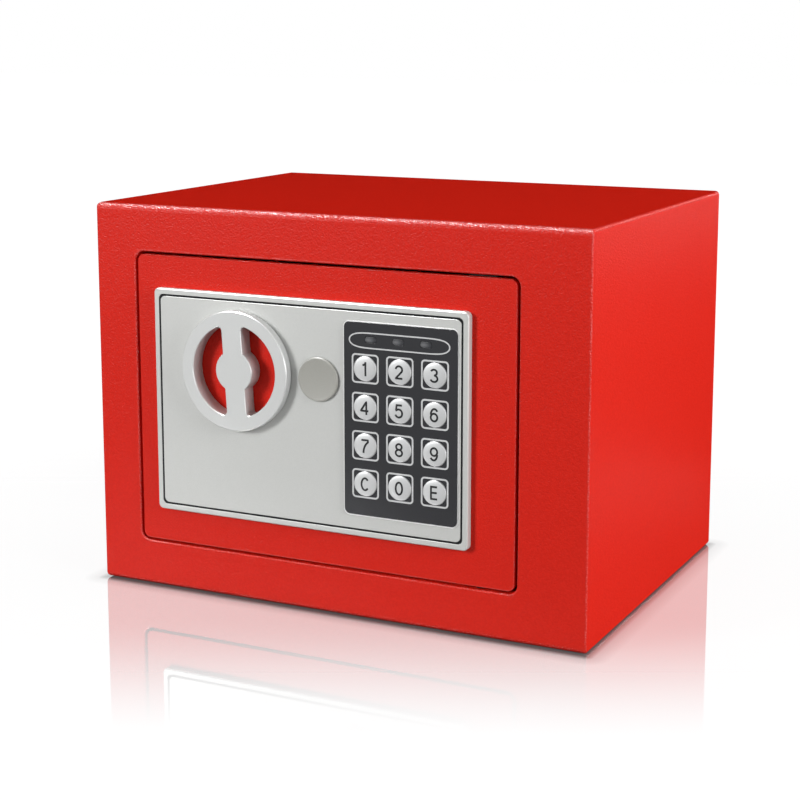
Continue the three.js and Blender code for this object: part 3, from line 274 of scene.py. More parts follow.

# %% [markdown]
# ## Metals
# Zinc-plated steel has a cloudy skin. Brass is warmer and turned, so its gloss is even. The hinge
# pins are steel given a near-black colour as painted shade, so that the gap round the door stays
# dark. The coil is enamelled copper wire, wound in layers.

# %% Metals
def plated(name, color, roughness, cloud, stretch):
    """Metal whose gloss and tone drift in soft clouds, with fine scratches along one way."""
    material, tree, shader = new_finish(name, color, roughness, 1.0)
    clouds = noise(tree, 240, 3.0, 0.6)
    dark = tuple(c * (1 - cloud) for c in color)
    tint(tree, shader, spread(tree, clouds, *NOISE_RANGE), dark, color)
    uneven_gloss(tree, shader, clouds, roughness * 0.8, roughness * 1.25)
    relief(tree, shader, noise(tree, 3000, 1.0, stretch=stretch), 0.000008)
    return material


# Near-black steel for the hinge pins: painted shade, so that the gap round the door stays dark.
pin_steel_painted_shade = moulded(
    "pin steel darkened as painted shade", (0.0160, 0.0155, 0.0150), 0.50, 0.20, 0.00002, 900, 0.3, 0.2
)
zinc = plated("zinc plated steel", (0.480, 0.490, 0.500), 0.40, 0.14, (1, 1, 0.08))
turned_steel = plated("turned steel", (0.470, 0.475, 0.480), 0.34, 0.08, (0.05, 1, 1))
brass_metal = plated("turned brass", (0.640, 0.460, 0.190), 0.26, 0.10, (1, 0.05, 1))


def wound_copper(name):
    """Copper with a ridge for each turn of wire, one after another up the coil."""
    material, tree, shader = new_finish(name, (0.470, 0.170, 0.075), 0.30, 0.9)
    turns = add(
        tree, "TexWave", wave_type="BANDS", bands_direction="Z", scale=700, distortion=0.4,
        vector=object_coordinates(tree),
    ).outputs["Fac"]
    tint(tree, shader, turns, (0.300, 0.090, 0.040), (0.520, 0.200, 0.090))
    relief(tree, shader, turns, 0.00015)
    return material


coil_copper = wound_copper("wound copper")
print("metals ready")

# %% [markdown]
# ## Board, cells and felt
# These are inside. The board has a green solder mask with paler tracks in it. The cells have a
# plain dark jacket with a silver band at each end. The felt mat on the safe's floor is a tangle
# of short dark fibres.

# %% Board, cells and felt
BAND = 6 * MM


def circuit_board(name):
    """Green lacquer over paler tracks, which run along the borders of a pattern of cells."""
    material, tree, shader = new_finish(name, (0.012, 0.110, 0.040), 0.35)
    tracks = add(
        tree, "TexVoronoi", feature="DISTANCE_TO_EDGE", scale=260, randomness=0.35,
        vector=object_coordinates(tree),
    )
    share = spread(tree, tracks.outputs["Distance"], 0.04, 0.07)
    tint(tree, shader, share, (0.030, 0.220, 0.075), (0.010, 0.090, 0.032))
    relief(tree, shader, share, 0.00003)
    return material


def cell_jacket(name, middle, half):
    """A dark blue sleeve with a silver band at each end, measured along X."""
    blue = (0.020, 0.060, 0.240)
    material, tree, shader = new_finish(name, blue, 0.28, 0.2)
    along = add(tree, "SeparateXYZ", object_coordinates(tree)).outputs["X"]
    away = math_node(tree, "ABSOLUTE", math_node(tree, "SUBTRACT", along, middle))
    band = spread(tree, away, half - BAND - 0.1 * MM, half - BAND)
    tint(tree, shader, band, blue, (0.620, 0.600, 0.560))
    uneven_gloss(tree, shader, noise(tree, 500), 0.22, 0.36)
    return material


def felt_cloth(name):
    """Short fibres: two stretched noises crossed, and a soft sheen."""
    material, tree, shader = new_finish(name, (0.030, 0.030, 0.034), 0.95, Sheen_Weight=0.4)
    one, two = (noise(tree, 2600, 3.0, 0.7, way) for way in ((1, 0.22, 1), (0.22, 1, 1)))
    share = spread(tree, math_node(tree, "ADD", one, two), 0.7, 1.3)
    tint(tree, shader, share, (0.016, 0.016, 0.019), (0.060, 0.060, 0.066))
    relief(tree, shader, share, 0.0004)
    return material


cell_low, cell_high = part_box("battery_1")
CELL_MIDDLE = (cell_low.x + cell_high.x) / 2
CELL_HALF = (cell_high.x - cell_low.x) / 2
board_green = circuit_board("circuit board")
jacket = cell_jacket("cell jacket", CELL_MIDDLE, CELL_HALF)
felt = felt_cloth("felt")
print("cells are", round(2 * CELL_HALF / MM, 1), "mm long")

# %% [markdown]
# ## Printed marks
# The numerals and the frames round the keys are screen print: a skin of ink a few hundredths of
# a millimetre thick. They are real faces here, so that they stay sharp at any distance.

# %% Inks
ink_dark = moulded("dark ink", (0.006, 0.006, 0.007), 0.50, 0.10, 0.000003, shine=0.2)
ink_light = moulded("light ink", (0.530, 0.535, 0.540), 0.50, 0.04, 0.000003)
print("inks ready")

# %% [markdown]
# ## Surfaces from rings
# Most of this safe is folded or moulded: one outline, carried over a section. So the main tool is
# a stack of rings. Each ring is an outline drawn in X and Z at its own depth Y, and neighbouring
# rings are joined by quads. All of it is done on whole numpy arrays.

# %% Outlines
CORNER_STEPS = 10
SKIN = 0.06


def corner_angles(steps):
    """The angles of four quarter circles, a row for each corner, both ends included."""
    return (np.arange(4)[:, None] + np.linspace(0, 1, steps + 1)[None, :]) * math.pi / 2


def rounded(box, inset, radius, steps=CORNER_STEPS):
    """A box (x, z, width, height) drawn in by inset, with round corners: centre of the quarter
    circle plus radius times (cosine, sine) of the angle, for all four corners at once."""
    x, z, width, height = box
    radius = max(radius, 1e-6)
    angle = corner_angles(steps)
    side_x = np.array([1, -1, -1, 1])[:, None]
    side_z = np.array([1, 1, -1, -1])[:, None]
    px = x + side_x * (width / 2 - inset - radius) + radius * np.cos(angle)
    pz = z + side_z * (height / 2 - inset - radius) + radius * np.sin(angle)
    return np.stack([px.ravel(), pz.ravel()], axis=1)


def oval(x, z, half_x, half_z, start, end, steps):
    """Part of an ellipse, from one angle to another in radians, both ends included: centre plus
    half sizes times (cosine, sine)."""
    angle = np.linspace(start, end, steps)
    return np.stack([x + half_x * np.cos(angle), z + half_z * np.sin(angle)], axis=1)


def circle(x, z, radius, sides=96):
    """A whole circle, whose last point meets its first."""
    return oval(x, z, radius, radius, 0, 2 * math.pi, sides + 1)[:-1]


def drawn_in(box, corner, margin=0.0, steps=CORNER_STEPS):
    """A rounded box as a function of inset: margin and inset shrink it, and the inset tightens
    its corners."""
    return lambda inset: rounded(box, margin + inset, corner - inset, steps)


def window(box, corner, margin=0.0, steps=CORNER_STEPS):
    """A rounded window as a function of inset: it grows where the plate's edge is drawn in."""
    return lambda inset: rounded(box, margin - inset, corner + inset, steps)


def hole(x, z, radius, sides=64):
    """A round window."""
    return lambda inset: circle(x, z, radius + inset, sides)


def at_depth(outline, y):
    """The outline as points in space at depth y."""
    depth = np.full((len(outline), 1), y)
    return np.hstack([outline[:, :1], depth, outline[:, 1:]])


def carried(outline, section):
    """A ring for each (y, inset) of a section: the outline drawn in by inset, at depth y."""
    return [at_depth(outline(inset), y) for y, inset in section]


def round_edge(y, depth, inset, steps):
    """A quarter round that starts on the face at y, as pairs of a depth and an inset: y plus
    depth times (1 - cosine), and inset times (1 - sine)."""
    turn = np.linspace(0, math.pi / 2, steps + 1)
    return [(y + depth * (1 - math.cos(t)), inset * (1 - math.sin(t))) for t in turn]


def eased(y0, y1, edge, back_edge=0.0, steps=5):
    """A section from y0 to y1 with a quarter-round front edge, and a round back edge if asked.
    A thin flat ring beside each round keeps the large faces flat in the shading."""
    front = [(y0, edge + SKIN), *round_edge(y0, edge, edge, steps), (y0 + edge + SKIN, 0.0)]
    if not back_edge:
        return [*front, (y1, 0.0)]
    back = round_edge(y1, -back_edge, back_edge, steps)[::-1]
    return [*front, (y1 - back_edge - SKIN, 0.0), *back, (y1, back_edge + SKIN)]


# %% Meshes
def strip(first, second):
    """Quads between two rings of vertex numbers, each ring closed on itself."""
    return np.stack([first, np.roll(first, -1), np.roll(second, -1), second], axis=1).tolist()


def stack_faces(numbers):
    """Quads between each row of vertex numbers and the next."""
    return [f for a, b in zip(numbers[:-1], numbers[1:]) for f in strip(a, b)]


def mesh_piece(name, points, faces, sharp=40.0):
    """A mesh object of these points and faces in mm, shaded smooth up to that angle."""
    mesh = bpy.data.meshes.new(name)
    mesh.from_pydata(np.asarray(points, dtype=float) * MM, [], faces)
    shape = bmesh.new()
    shape.from_mesh(mesh)
    bmesh.ops.remove_doubles(shape, verts=shape.verts, dist=1e-8)
    bmesh.ops.recalc_face_normals(shape, faces=shape.faces)
    shape.to_mesh(mesh)
    shape.free()
    mesh.shade_smooth()
    mesh.set_sharp_from_angle(angle=math.radians(sharp))
    return placed(name, mesh)


def closed_section(name, rings):
    """A frame: each ring joined to the next, and the last ring to the first."""
    numbers = np.arange(len(rings) * len(rings[0])).reshape(len(rings), -1)
    return mesh_piece(name, np.vstack(rings), stack_faces(np.vstack([numbers, numbers[:1]])))


def plate(name, loops, section):
    """A plate with holes. Each loop is a function from an inset to an outline, the first one
    outside. A section is a list of (y, inset) from front to back: one for all loops, or one for
    each. Each loop is carried over its section, and the first and last outlines are filled."""
    sections = section if isinstance(section[0], list) else [section] * len(loops)
    points, faces, ends = [], [], []
    start = 0
    for loop, section in zip(loops, sections):
        rings = carried(loop, section)
        numbers = start + np.arange(len(rings) * len(rings[0])).reshape(len(rings), -1)
        faces += stack_faces(numbers)
        points += rings
        ends.append((rings[0], numbers[0], rings[-1], numbers[-1]))
        start += numbers.size
    for ring, number in ((0, 1), (2, 3)):
        flat = [[(p[0], p[2], 0.0) for p in end[ring]] for end in ends]
        lookup = np.concatenate([end[number] for end in ends])
        faces += [[int(lookup[i]) for i in corner] for corner in tessellate_polygon(flat)]
    return mesh_piece(name, np.vstack(points), faces)


def turned(name, x, z, profile, sides=96):
    """A turned form about an axis along Y: profile points are (radius, y). A radius of nought
    closes the form with a single point."""
    rings = [at_depth(circle(x, z, max(radius, 1e-5), sides), y) for radius, y in profile]
    numbers = np.arange(len(rings) * sides).reshape(len(rings), sides)
    return mesh_piece(name, np.vstack(rings), stack_faces(numbers))


def settle(piece):
    """Applies a piece's modifiers, so that its mesh is final."""
    graph = bpy.context.evaluated_depsgraph_get()
    final = bpy.data.meshes.new_from_object(piece.evaluated_get(graph))
    piece.modifiers.clear()
    piece.data = final


def dress(piece, material, body, slot, *nodes):
    """Gives a piece its finish, the body that it rides on and the nodes that it stands for."""
    piece.data.materials.clear()
    piece.data.materials.append(material)
    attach(piece, body)
    if nodes:
        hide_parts(*nodes)


# %% Sizes from the frame
def span(node):
    """A node's box in mm as (x0, x1, y0, y1, z0, z1)."""
    low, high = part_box(node)
    return tuple(v / MM for pair in zip(low, high) for v in pair)


def depths(node):
    """A node's front and back in mm."""
    return span(node)[2:4]


def front_box(node):
    """A node's box seen from the front, in mm, as (x, z, width, height)."""
    x0, x1, _, _, z0, z1 = span(node)
    return (x0 + x1) / 2, (z0 + z1) / 2, x1 - x0, z1 - z0


print("cabinet, seen from the front:", [round(v, 1) for v in front_box("cabinet_shell")], "mm")

# %% [markdown]
# ## Cabinet
# The cabinet is one sheet of steel. It wraps round the box, folds over at the front with a soft
# bend, and rolls back into the door opening. Its section is a closed line, so the cabinet is one
# stack of rings that starts outside, turns in at the front, lines the opening and comes back
# inside. The rings change size and place as they go.

# %% Cabinet rings
CABINET = front_box("cabinet_shell")
FRONT, BACK = depths("cabinet_shell")
SHEET = 1.5
FRONT_BEND, SIDE_BEND, BACK_BEND = 3.0, 0.9, 1.0
CABINET_CORNER = 1.9
OPENING = (-5.0, 85.0, 180.0, 129.0)
OPENING_CORNER = 4.0
OPENING_ROLL = 1.2
RETURN_DEPTH = 8.0
RETURN_EASE, INNER_BEND = 0.2, 0.7
RING_GAP = 0.1
BEND_STEPS = 8


def outside_outline(inset):
    """The cabinet's outside drawn in by inset; its corners tighten with it."""
    return rounded(CABINET, inset, CABINET_CORNER * (1 - 0.4 * inset / FRONT_BEND))


def bend_ring(t, flat=0.0):
    """One ring of the bend round the front, t from 0 at the walls to a quarter turn at the face.
    The outline moves in by radius times (1 - cosine) and stands back by radius times (1 - sine).
    The radius is FRONT_BEND at the top and bottom and the tighter SIDE_BEND at the sides, and
    flat moves the ring on across the face."""
    x, z, width, height = CABINET
    turned_in = 1 - math.cos(t)
    box = (x, z, width - 2 * SIDE_BEND * turned_in, height - 2 * FRONT_BEND * turned_in)
    outline = rounded(box, flat, CABINET_CORNER - SIDE_BEND * turned_in)
    to_side = np.abs(np.cos(corner_angles(CORNER_STEPS))).ravel()
    radius = FRONT_BEND + (SIDE_BEND - FRONT_BEND) * to_side
    return np.stack([outline[:, 0], FRONT + radius * (1 - math.sin(t)), outline[:, 1]], axis=1)


def cabinet_rings():
    """The section of the cabinet, ring by ring: outside from the back to the front bend, front
    face, roll into the opening, return fold, its outside, the front's inside, the walls' inside."""
    outside = [
        *round_edge(BACK, -BACK_BEND, BACK_BEND, BEND_STEPS),
        (BACK - BACK_BEND - RING_GAP, 0), (FRONT + FRONT_BEND + RING_GAP, 0),
    ]
    end = FRONT + RETURN_DEPTH
    opening = [
        (FRONT, -OPENING_ROLL - RING_GAP),
        *round_edge(FRONT, OPENING_ROLL, -OPENING_ROLL, BEND_STEPS),
        (FRONT + OPENING_ROLL + RING_GAP, 0),
        (end - RETURN_EASE, 0), (end, -RETURN_EASE),
        (end, RETURN_EASE - SHEET), (end - RETURN_EASE, -SHEET),
        (FRONT + (1 + INNER_BEND) * SHEET, -SHEET), (FRONT + SHEET, -(1 + INNER_BEND) * SHEET),
    ]
    inside = [
        (FRONT + SHEET, SHEET + INNER_BEND), (FRONT + SHEET + INNER_BEND, SHEET), (BACK, SHEET)
    ]
    bend = [bend_ring(t) for t in np.linspace(0, math.pi / 2, BEND_STEPS + 1)]
    return [
        *carried(outside_outline, outside), *bend, bend_ring(math.pi / 2, RING_GAP),
        *carried(drawn_in(OPENING, OPENING_CORNER), opening), *carried(outside_outline, inside),
    ]


# %% Cabinet
ANCHOR, ANCHOR_X, ANCHOR_Y = 4.5, 60, 0
FLOOR_CUT = (-1, 3)
PIN_HOLE, UPPER_CUT, LOWER_CUT = 2.5, (148, 152.5), (17.5, 22)
HINGE_X, HINGE_Y = front_box("hinge_bracket_upper")[0], FRONT + 4.5


def drilled(piece, *drills):
    """Cuts upright round holes: each drill is (radius, x, y, lower end, upper end) in mm."""
    for radius, x, y, low, high in drills:
        shape = bmesh.new()
        bmesh.ops.create_cone(
            shape, cap_ends=True, segments=48, radius1=radius * MM, radius2=radius * MM,
            depth=(high - low) * MM,
            matrix=Matrix.Translation(Vector((x, y, (low + high) / 2)) * MM),
        )
        tool_mesh = bpy.data.meshes.new("drill")
        shape.to_mesh(tool_mesh)
        shape.free()
        tool = placed("drill", tool_mesh)
        cut = piece.modifiers.new("drill", "BOOLEAN")
        cut.operation = "DIFFERENCE"
        cut.solver = "EXACT"
        cut.object = tool
        settle(piece)
        bpy.data.objects.remove(tool)


cabinet = closed_section("cabinet", cabinet_rings())
drilled(
    cabinet,
    (ANCHOR, -ANCHOR_X, ANCHOR_Y, *FLOOR_CUT),
    (ANCHOR, ANCHOR_X, ANCHOR_Y, *FLOOR_CUT),
    (PIN_HOLE, HINGE_X, HINGE_Y, *UPPER_CUT),
    (PIN_HOLE, HINGE_X, HINGE_Y, *LOWER_CUT),
)
mark_folds(cabinet)
dress(cabinet, red_coat, "cabinet", "red_powder_coat", "cabinet_shell")
print("cabinet faces:", len(cabinet.data.polygons))

# %% [markdown]
# ## Door
# The door is a flat plate that stands flush in the opening. Its front edge is only just broken,
# so the gap round it reads as one thin dark line. It has three holes that the fascia hides: for
# the knob's shaft, for the emergency lock and for the keypad's lead.

# %% Door
DOOR = front_box("door_plate")
DOOR_FACE, DOOR_BACK = depths("door_plate")
DOOR_CORNER = 3.2
DOOR_EDGE, DOOR_BACK_EDGE = 0.5, 0.3
KNOB_X, KNOB_Z, knob_width, _ = front_box("knob")
LOCK_X, LOCK_Z, cap_width, _ = front_box("lock_cap")
LEAD_X = front_box("battery_lead")[0]
LEAD_Z = span("battery_lead")[5] - 1.5
SHAFT_HOLE, BARREL_HOLE, LEAD_HOLE = 4.3, 7.8, 2.5

door_holes = [
    hole(KNOB_X, KNOB_Z, SHAFT_HOLE), hole(LOCK_X, LOCK_Z, BARREL_HOLE),
    hole(LEAD_X, LEAD_Z, LEAD_HOLE),
]
door_section = eased(DOOR_FACE, DOOR_BACK, DOOR_EDGE, DOOR_BACK_EDGE)
door = plate("door", [drawn_in(DOOR, DOOR_CORNER), *door_holes], door_section)
mark_folds(door)
dress(door, red_coat, "door", "red_powder_coat", "door_plate")
print("door", [round(v, 1) for v in DOOR[2:]], "mm")

# %% [markdown]
# ## Fascia
# The fascia is moulded in one look but reads as two: a raised border, and a face plate inside a
# fine black groove. The border is a ring whose outer edge is broken and whose skirt comes down
# to the door. The plate has crisp, slightly broken edges that catch a thin line of light.

# %% Fascia border
FASCIA = front_box("fascia_rim")
FASCIA_FACE, FASCIA_BACK = depths("fascia_rim")
FASCIA_CORNER = 2.2
FASCIA_EDGE = 0.45
RIM_WIDTH = 2.4
GROOVE = 0.9
SKIRT = 0.8
SKIRT_END = DOOR_FACE - 0.05
GROOVE_EDGE = 0.12
FLAT_RING = 0.08


def border_rings():
    """The border's section: bevelled outer edge, flat face, broken inner edge, back and skirt.
    Each point is a depth, an inset, and what the corners' radius loses."""
    inner = RIM_WIDTH - GROOVE_EDGE
    outer_edge = round_edge(FASCIA_FACE, FASCIA_EDGE, FASCIA_EDGE, 1)[::-1]
    section = [
        (SKIRT_END, 0, 0), (FASCIA_FACE + FASCIA_EDGE + FLAT_RING, 0, 0),
        *((y, inset, inset) for y, inset in outer_edge),
        (FASCIA_FACE, FASCIA_EDGE + FLAT_RING, FASCIA_EDGE),
        (FASCIA_FACE, inner - FLAT_RING, 0), (FASCIA_FACE, inner, 0),
        (FASCIA_FACE + GROOVE_EDGE, RIM_WIDTH, 0), (FASCIA_BACK, RIM_WIDTH, 0),
        (FASCIA_BACK, SKIRT, SKIRT), (SKIRT_END, SKIRT, SKIRT),
    ]
    return [at_depth(rounded(FASCIA, inset, FASCIA_CORNER - less), y) for y, inset, less in section]


border = closed_section("fascia_border", border_rings())
dress(border, silver, "door", "silver_plastic", "fascia_rim")
print("fascia", [round(v, 1) for v in FASCIA[2:]], "mm")

# %% [markdown]
# Behind both lies a black sheet with a lip that fills the groove almost to its top, so that the
# groove reads as one even black line from any side.

# %% Fascia plate and backing
WELL_RADIUS = 22.0
LOCK_HOLE = 8.3
KEYPAD = front_box("keypad_overlay")
OVERLAY_FACE, OVERLAY_BACK = depths("keypad_overlay")
KEYPAD_LEDGE = 1.0
KEYPAD_CORNER = 2.5
BACKING_PLAY = 0.15
LIP_DEPTH = 0.15
HAIR = 0.02

keypad_window = window(KEYPAD, KEYPAD_CORNER, KEYPAD_LEDGE)
fascia_holes = [
    hole(KNOB_X, KNOB_Z, WELL_RADIUS, 96), hole(LOCK_X, LOCK_Z, LOCK_HOLE), keypad_window
]
face_outline = drawn_in(FASCIA, FASCIA_CORNER, RIM_WIDTH + GROOVE)
face_section = eased(FASCIA_FACE, FASCIA_BACK, GROOVE_EDGE, steps=1)
face = plate("fascia_face", [face_outline, *fascia_holes], face_section)
dress(face, silver, "door", "silver_plastic", "fascia_plate")

backing_front, backing_back = depths("fascia_backing")
backing_outline = drawn_in(FASCIA, FASCIA_CORNER - SKIRT, SKIRT + BACKING_PLAY)
backing_section = [(backing_front, 0), (backing_back, 0)]
backing = plate("fascia_backing_sheet", [backing_outline, *fascia_holes], backing_section)
dress(backing, black_sheet, "door", "black_plastic", "fascia_backing")

lip_top, lip_foot = FASCIA_FACE + LIP_DEPTH, backing_front - HAIR
outer, inner = RIM_WIDTH + HAIR, RIM_WIDTH + GROOVE - HAIR
lip_section = [(lip_top, outer), (lip_top, inner), (lip_foot, inner), (lip_foot, outer)]
lip_rings = carried(lambda inset: rounded(FASCIA, inset, FASCIA_CORNER), lip_section)
lip = closed_section("groove_lip", lip_rings)
dress(lip, black_sheet, "door", "black_plastic")
print("groove", GROOVE, "mm wide")

# %% [markdown]
# ## Knob
# The knob is one thick moulding: a disc that overlaps the fascia, and a drum behind it that goes
# down into the well as far as the door. Two D-shaped windows run right through, so that a bar
# with a round middle is left to grip. Through them one looks down deep walls at the red door.
# The windows' outline is worked out from four arcs whose centres stay put while their radii
# change, so the bevel round the windows is exact.

# %% Knob
KNOB_RADIUS = knob_width / 2
KNOB_FACE, KNOB_END = depths("knob")
KNOB_BACK = depths("fascia_plate")[0] - 0.4
KNOB_EDGE, KNOB_BACK_EDGE = 0.38, 0.2
KNOB_LEAN = math.radians(3.5)
DRUM_RADIUS = 21.5
WINDOW_RADIUS = 20.0
WINDOW_FILLET = 1.6
WINDOW_EDGE = 0.30
BAR_HALF = 4.75
HUB_RADIUS = 8.8
HUB_FILLET = 0.7


def arc(x, z, radius, *angles_and_steps):
    """Part of a circle."""
    return oval(x, z, radius, radius, *angles_and_steps)


def window_outline(inset, turn=0.0):
    """A D-shaped window grown by inset: the big arc, a fillet, the bar's side, a small fillet
    where the bar meets the hub, the hub's arc, and the same again mirrored."""
    corner_x = BAR_HALF + WINDOW_FILLET
    corner_z = math.sqrt((WINDOW_RADIUS - WINDOW_FILLET) ** 2 - corner_x**2)
    lean = math.atan2(corner_z, corner_x)
    waist_x = BAR_HALF + HUB_FILLET
    waist_z = math.sqrt((HUB_RADIUS + HUB_FILLET) ** 2 - waist_x**2)
    back = math.atan2(waist_z, waist_x)
    upper = np.vstack([
        arc(corner_x, corner_z, WINDOW_FILLET + inset, lean, math.pi, 9),
        arc(waist_x, waist_z, HUB_FILLET + inset, math.pi, math.pi + back, 6),
        arc(0, 0, HUB_RADIUS - inset, back, 0, 13),
    ])
    lower = upper[::-1][1:] * [1, -1]
    rim = arc(0, 0, WINDOW_RADIUS + inset, -lean, lean, 40)[1:-1]
    flat = np.vstack([rim, upper, lower])
    c, s = math.cos(turn + KNOB_LEAN), math.sin(turn + KNOB_LEAN)
    return flat @ np.array([[c, s], [-s, c]]) + [KNOB_X, KNOB_Z]


drum_inset = KNOB_RADIUS - DRUM_RADIUS
disc_section = eased(KNOB_FACE, KNOB_BACK, KNOB_EDGE, KNOB_BACK_EDGE, steps=1)
drum_section = [(KNOB_BACK, drum_inset - SKIN), (KNOB_BACK, drum_inset), (KNOB_END, drum_inset)]
window_section = eased(KNOB_FACE, KNOB_END, WINDOW_EDGE, steps=1)
knob = plate(
    "knob_moulding",
    [
        lambda inset: circle(KNOB_X, KNOB_Z, KNOB_RADIUS - inset, 128),
        window_outline,
        lambda inset: window_outline(inset, math.pi),
    ],
    [disc_section + drum_section, window_section, window_section],
)
dress(knob, silver_knob, "knob", "silver_plastic", "knob")
print("knob", round(2 * KNOB_RADIUS, 1), "mm across,", round(KNOB_END - KNOB_FACE, 1), "mm deep")

# %% [markdown]
# ## Round cap over the emergency lock
# A plug of warm grey plastic that pushes into the fascia. Its face has a fine raised line near
# the edge. It is a turned form: one profile carried round an axis.

# %% Cap
CAP_RADIUS = cap_width / 2
CAP_FACE, CAP_END = depths("lock_cap")
CAP_SKIRT, CAP_WALL, CAP_CHAMFER = 8.0, 1.4, 0.3
CAP_RIM = [
    (-1.35, 0.06), (-1.25, 0.04), (-1.1, 0), (-0.62, 0), (-0.55, 0), (-0.32, 0.05), (-0.12, 0.2),
    (0, 0.45), (0, 0.52),
]
cap_profile = [
    (0, CAP_FACE + 0.06), *((CAP_RADIUS + out, CAP_FACE + down) for out, down in CAP_RIM),
    (CAP_RADIUS, OVERLAY_BACK), (CAP_SKIRT, OVERLAY_BACK), (CAP_SKIRT, CAP_END - CAP_CHAMFER),
    (CAP_SKIRT - CAP_CHAMFER, CAP_END), (CAP_SKIRT - CAP_WALL, CAP_END),
    (CAP_SKIRT - CAP_WALL, OVERLAY_BACK), (0, OVERLAY_BACK),
]
cap = turned("round_cap", LOCK_X, LOCK_Z, cap_profile)
dress(cap, warm_grey, "lock_cap", "grey_plastic", "lock_cap")
print("cap", round(2 * CAP_RADIUS, 1), "mm across")

# %% [markdown]
# ## Keypad
# The keypad is a charcoal film on a slightly larger light grey base. The base's colour is lightened
# further as a painted highlight, so that its edge shows as a thin light line. Twelve keys stand
# through the film. Each key has a low dome, a numeral and a printed square frame round it, and
# one lens-shaped line frames the three lamps.

# %% Keypad film and base
KEY_LABELS = {str(digit): str(digit) for digit in range(1, 10)}
KEY_LABELS |= {"clear": "C", "0": "0", "enter": "E"}
KEY_RADIUS = 5.2
KEY_PLAY = 0.12
FILM_EDGE, BASE_EDGE = 0.12, 0.08
LAMP_CORNER, LAMP_PLAY, LAMP_EDGE = 1.1, 0.1, 0.08
BASE = (KEYPAD[0] - 0.10, KEYPAD[1] - 0.20, *KEYPAD[2:])
BASE_MARGIN, BASE_CORNER = 0.46, 2.8

key_places = {name: front_box("key_" + name)[:2] for name in KEY_LABELS}
lamp_boxes = [front_box(f"led_{number}") for number in (1, 2, 3)]

film_holes = [hole(x, z, KEY_RADIUS + KEY_PLAY) for x, z in key_places.values()]
film_holes += [window(box, LAMP_CORNER, -LAMP_PLAY, 6) for box in lamp_boxes]
film_section = eased(OVERLAY_FACE, OVERLAY_BACK, FILM_EDGE, steps=3)
film = plate("keypad_film", [drawn_in(KEYPAD, KEYPAD_CORNER), *film_holes], film_section)
dress(film, charcoal_film, "door", "charcoal_overlay", "keypad_overlay")

# The base is a little larger than the film, and a hair low and to the left. Its pale colour is
# partly the base's own grey and partly a painted highlight along that edge.
base_outline = drawn_in(BASE, BASE_CORNER, -BASE_MARGIN)
base_section = eased(OVERLAY_BACK + HAIR, FASCIA_FACE - HAIR, BASE_EDGE, steps=3)
base = plate("keypad_base", [base_outline, keypad_window], base_section)
dress(base, pale_base_and_painted_highlight, "door", "silver_plastic")
print("keypad", [round(v, 1) for v in KEYPAD[2:]], "mm")

# %% Keys
KEY_EDGE = OVERLAY_FACE - 0.1
KEY_FACE, KEY_FOOT = depths("key_1")
KEY_FLANGE = KEY_RADIUS + 0.45
FLANGE_TOP = OVERLAY_BACK + 0.3
DOME_POWER = 2.5


def dome(distance):
    """Depth of a key's face at a distance from its middle: a superellipse, almost flat in the
    middle and rolled down at the edge."""
    share = np.clip(np.asarray(distance) / KEY_RADIUS, 0, 1)
    return KEY_FACE + (KEY_EDGE - KEY_FACE) * (1 - (1 - share**DOME_POWER) ** (1 / DOME_POWER))


# The dome in even steps of angle, the wall, and the flange under the film.
dome_radii = KEY_RADIUS * np.sin(np.linspace(0, math.pi / 2, 16))
key_profile = [
    *zip(dome_radii, dome(dome_radii)), (KEY_RADIUS, KEY_EDGE + 0.1), (KEY_RADIUS, FLANGE_TOP),
    (KEY_FLANGE, FLANGE_TOP), (KEY_FLANGE, KEY_FOOT), (0, KEY_FOOT),
]
for name, (x, z) in key_places.items():
    key = turned("keytop_" + name, x, z, key_profile, 72)
    dress(key, silver_key, "key_" + name, "silver_key", "key_" + name)
print("keys:", len(key_places))

# %% [markdown]
# The numerals are drawn as a sign painter would: each is one to three strokes along a centre
# line, and every stroke has the same width. A curved centre line is a piece of an ellipse.

# %% Centre lines of the numerals
NUMERAL_STROKE = 0.84
HALF_W = 1.45
HALF_H = 2.52
STROKE_END = HALF_H + NUMERAL_STROKE / 2
INK = 0.03


def bow(x, z, half_x, half_z, start, end, steps=24):
    """Part of an ellipse, from one angle to another in degrees."""
    return oval(x, z, half_x, half_z, math.radians(start), math.radians(end), steps)


def line(*parts):
    """An open stroke through bows and single points, as (points, closed)."""
    return np.vstack([np.atleast_2d(part) for part in parts]), False


def bowl(x, z, half_x, half_z, end=350, steps=36):
    """A closed oval stroke."""
    return bow(x, z, half_x, half_z, 0, end, steps), True


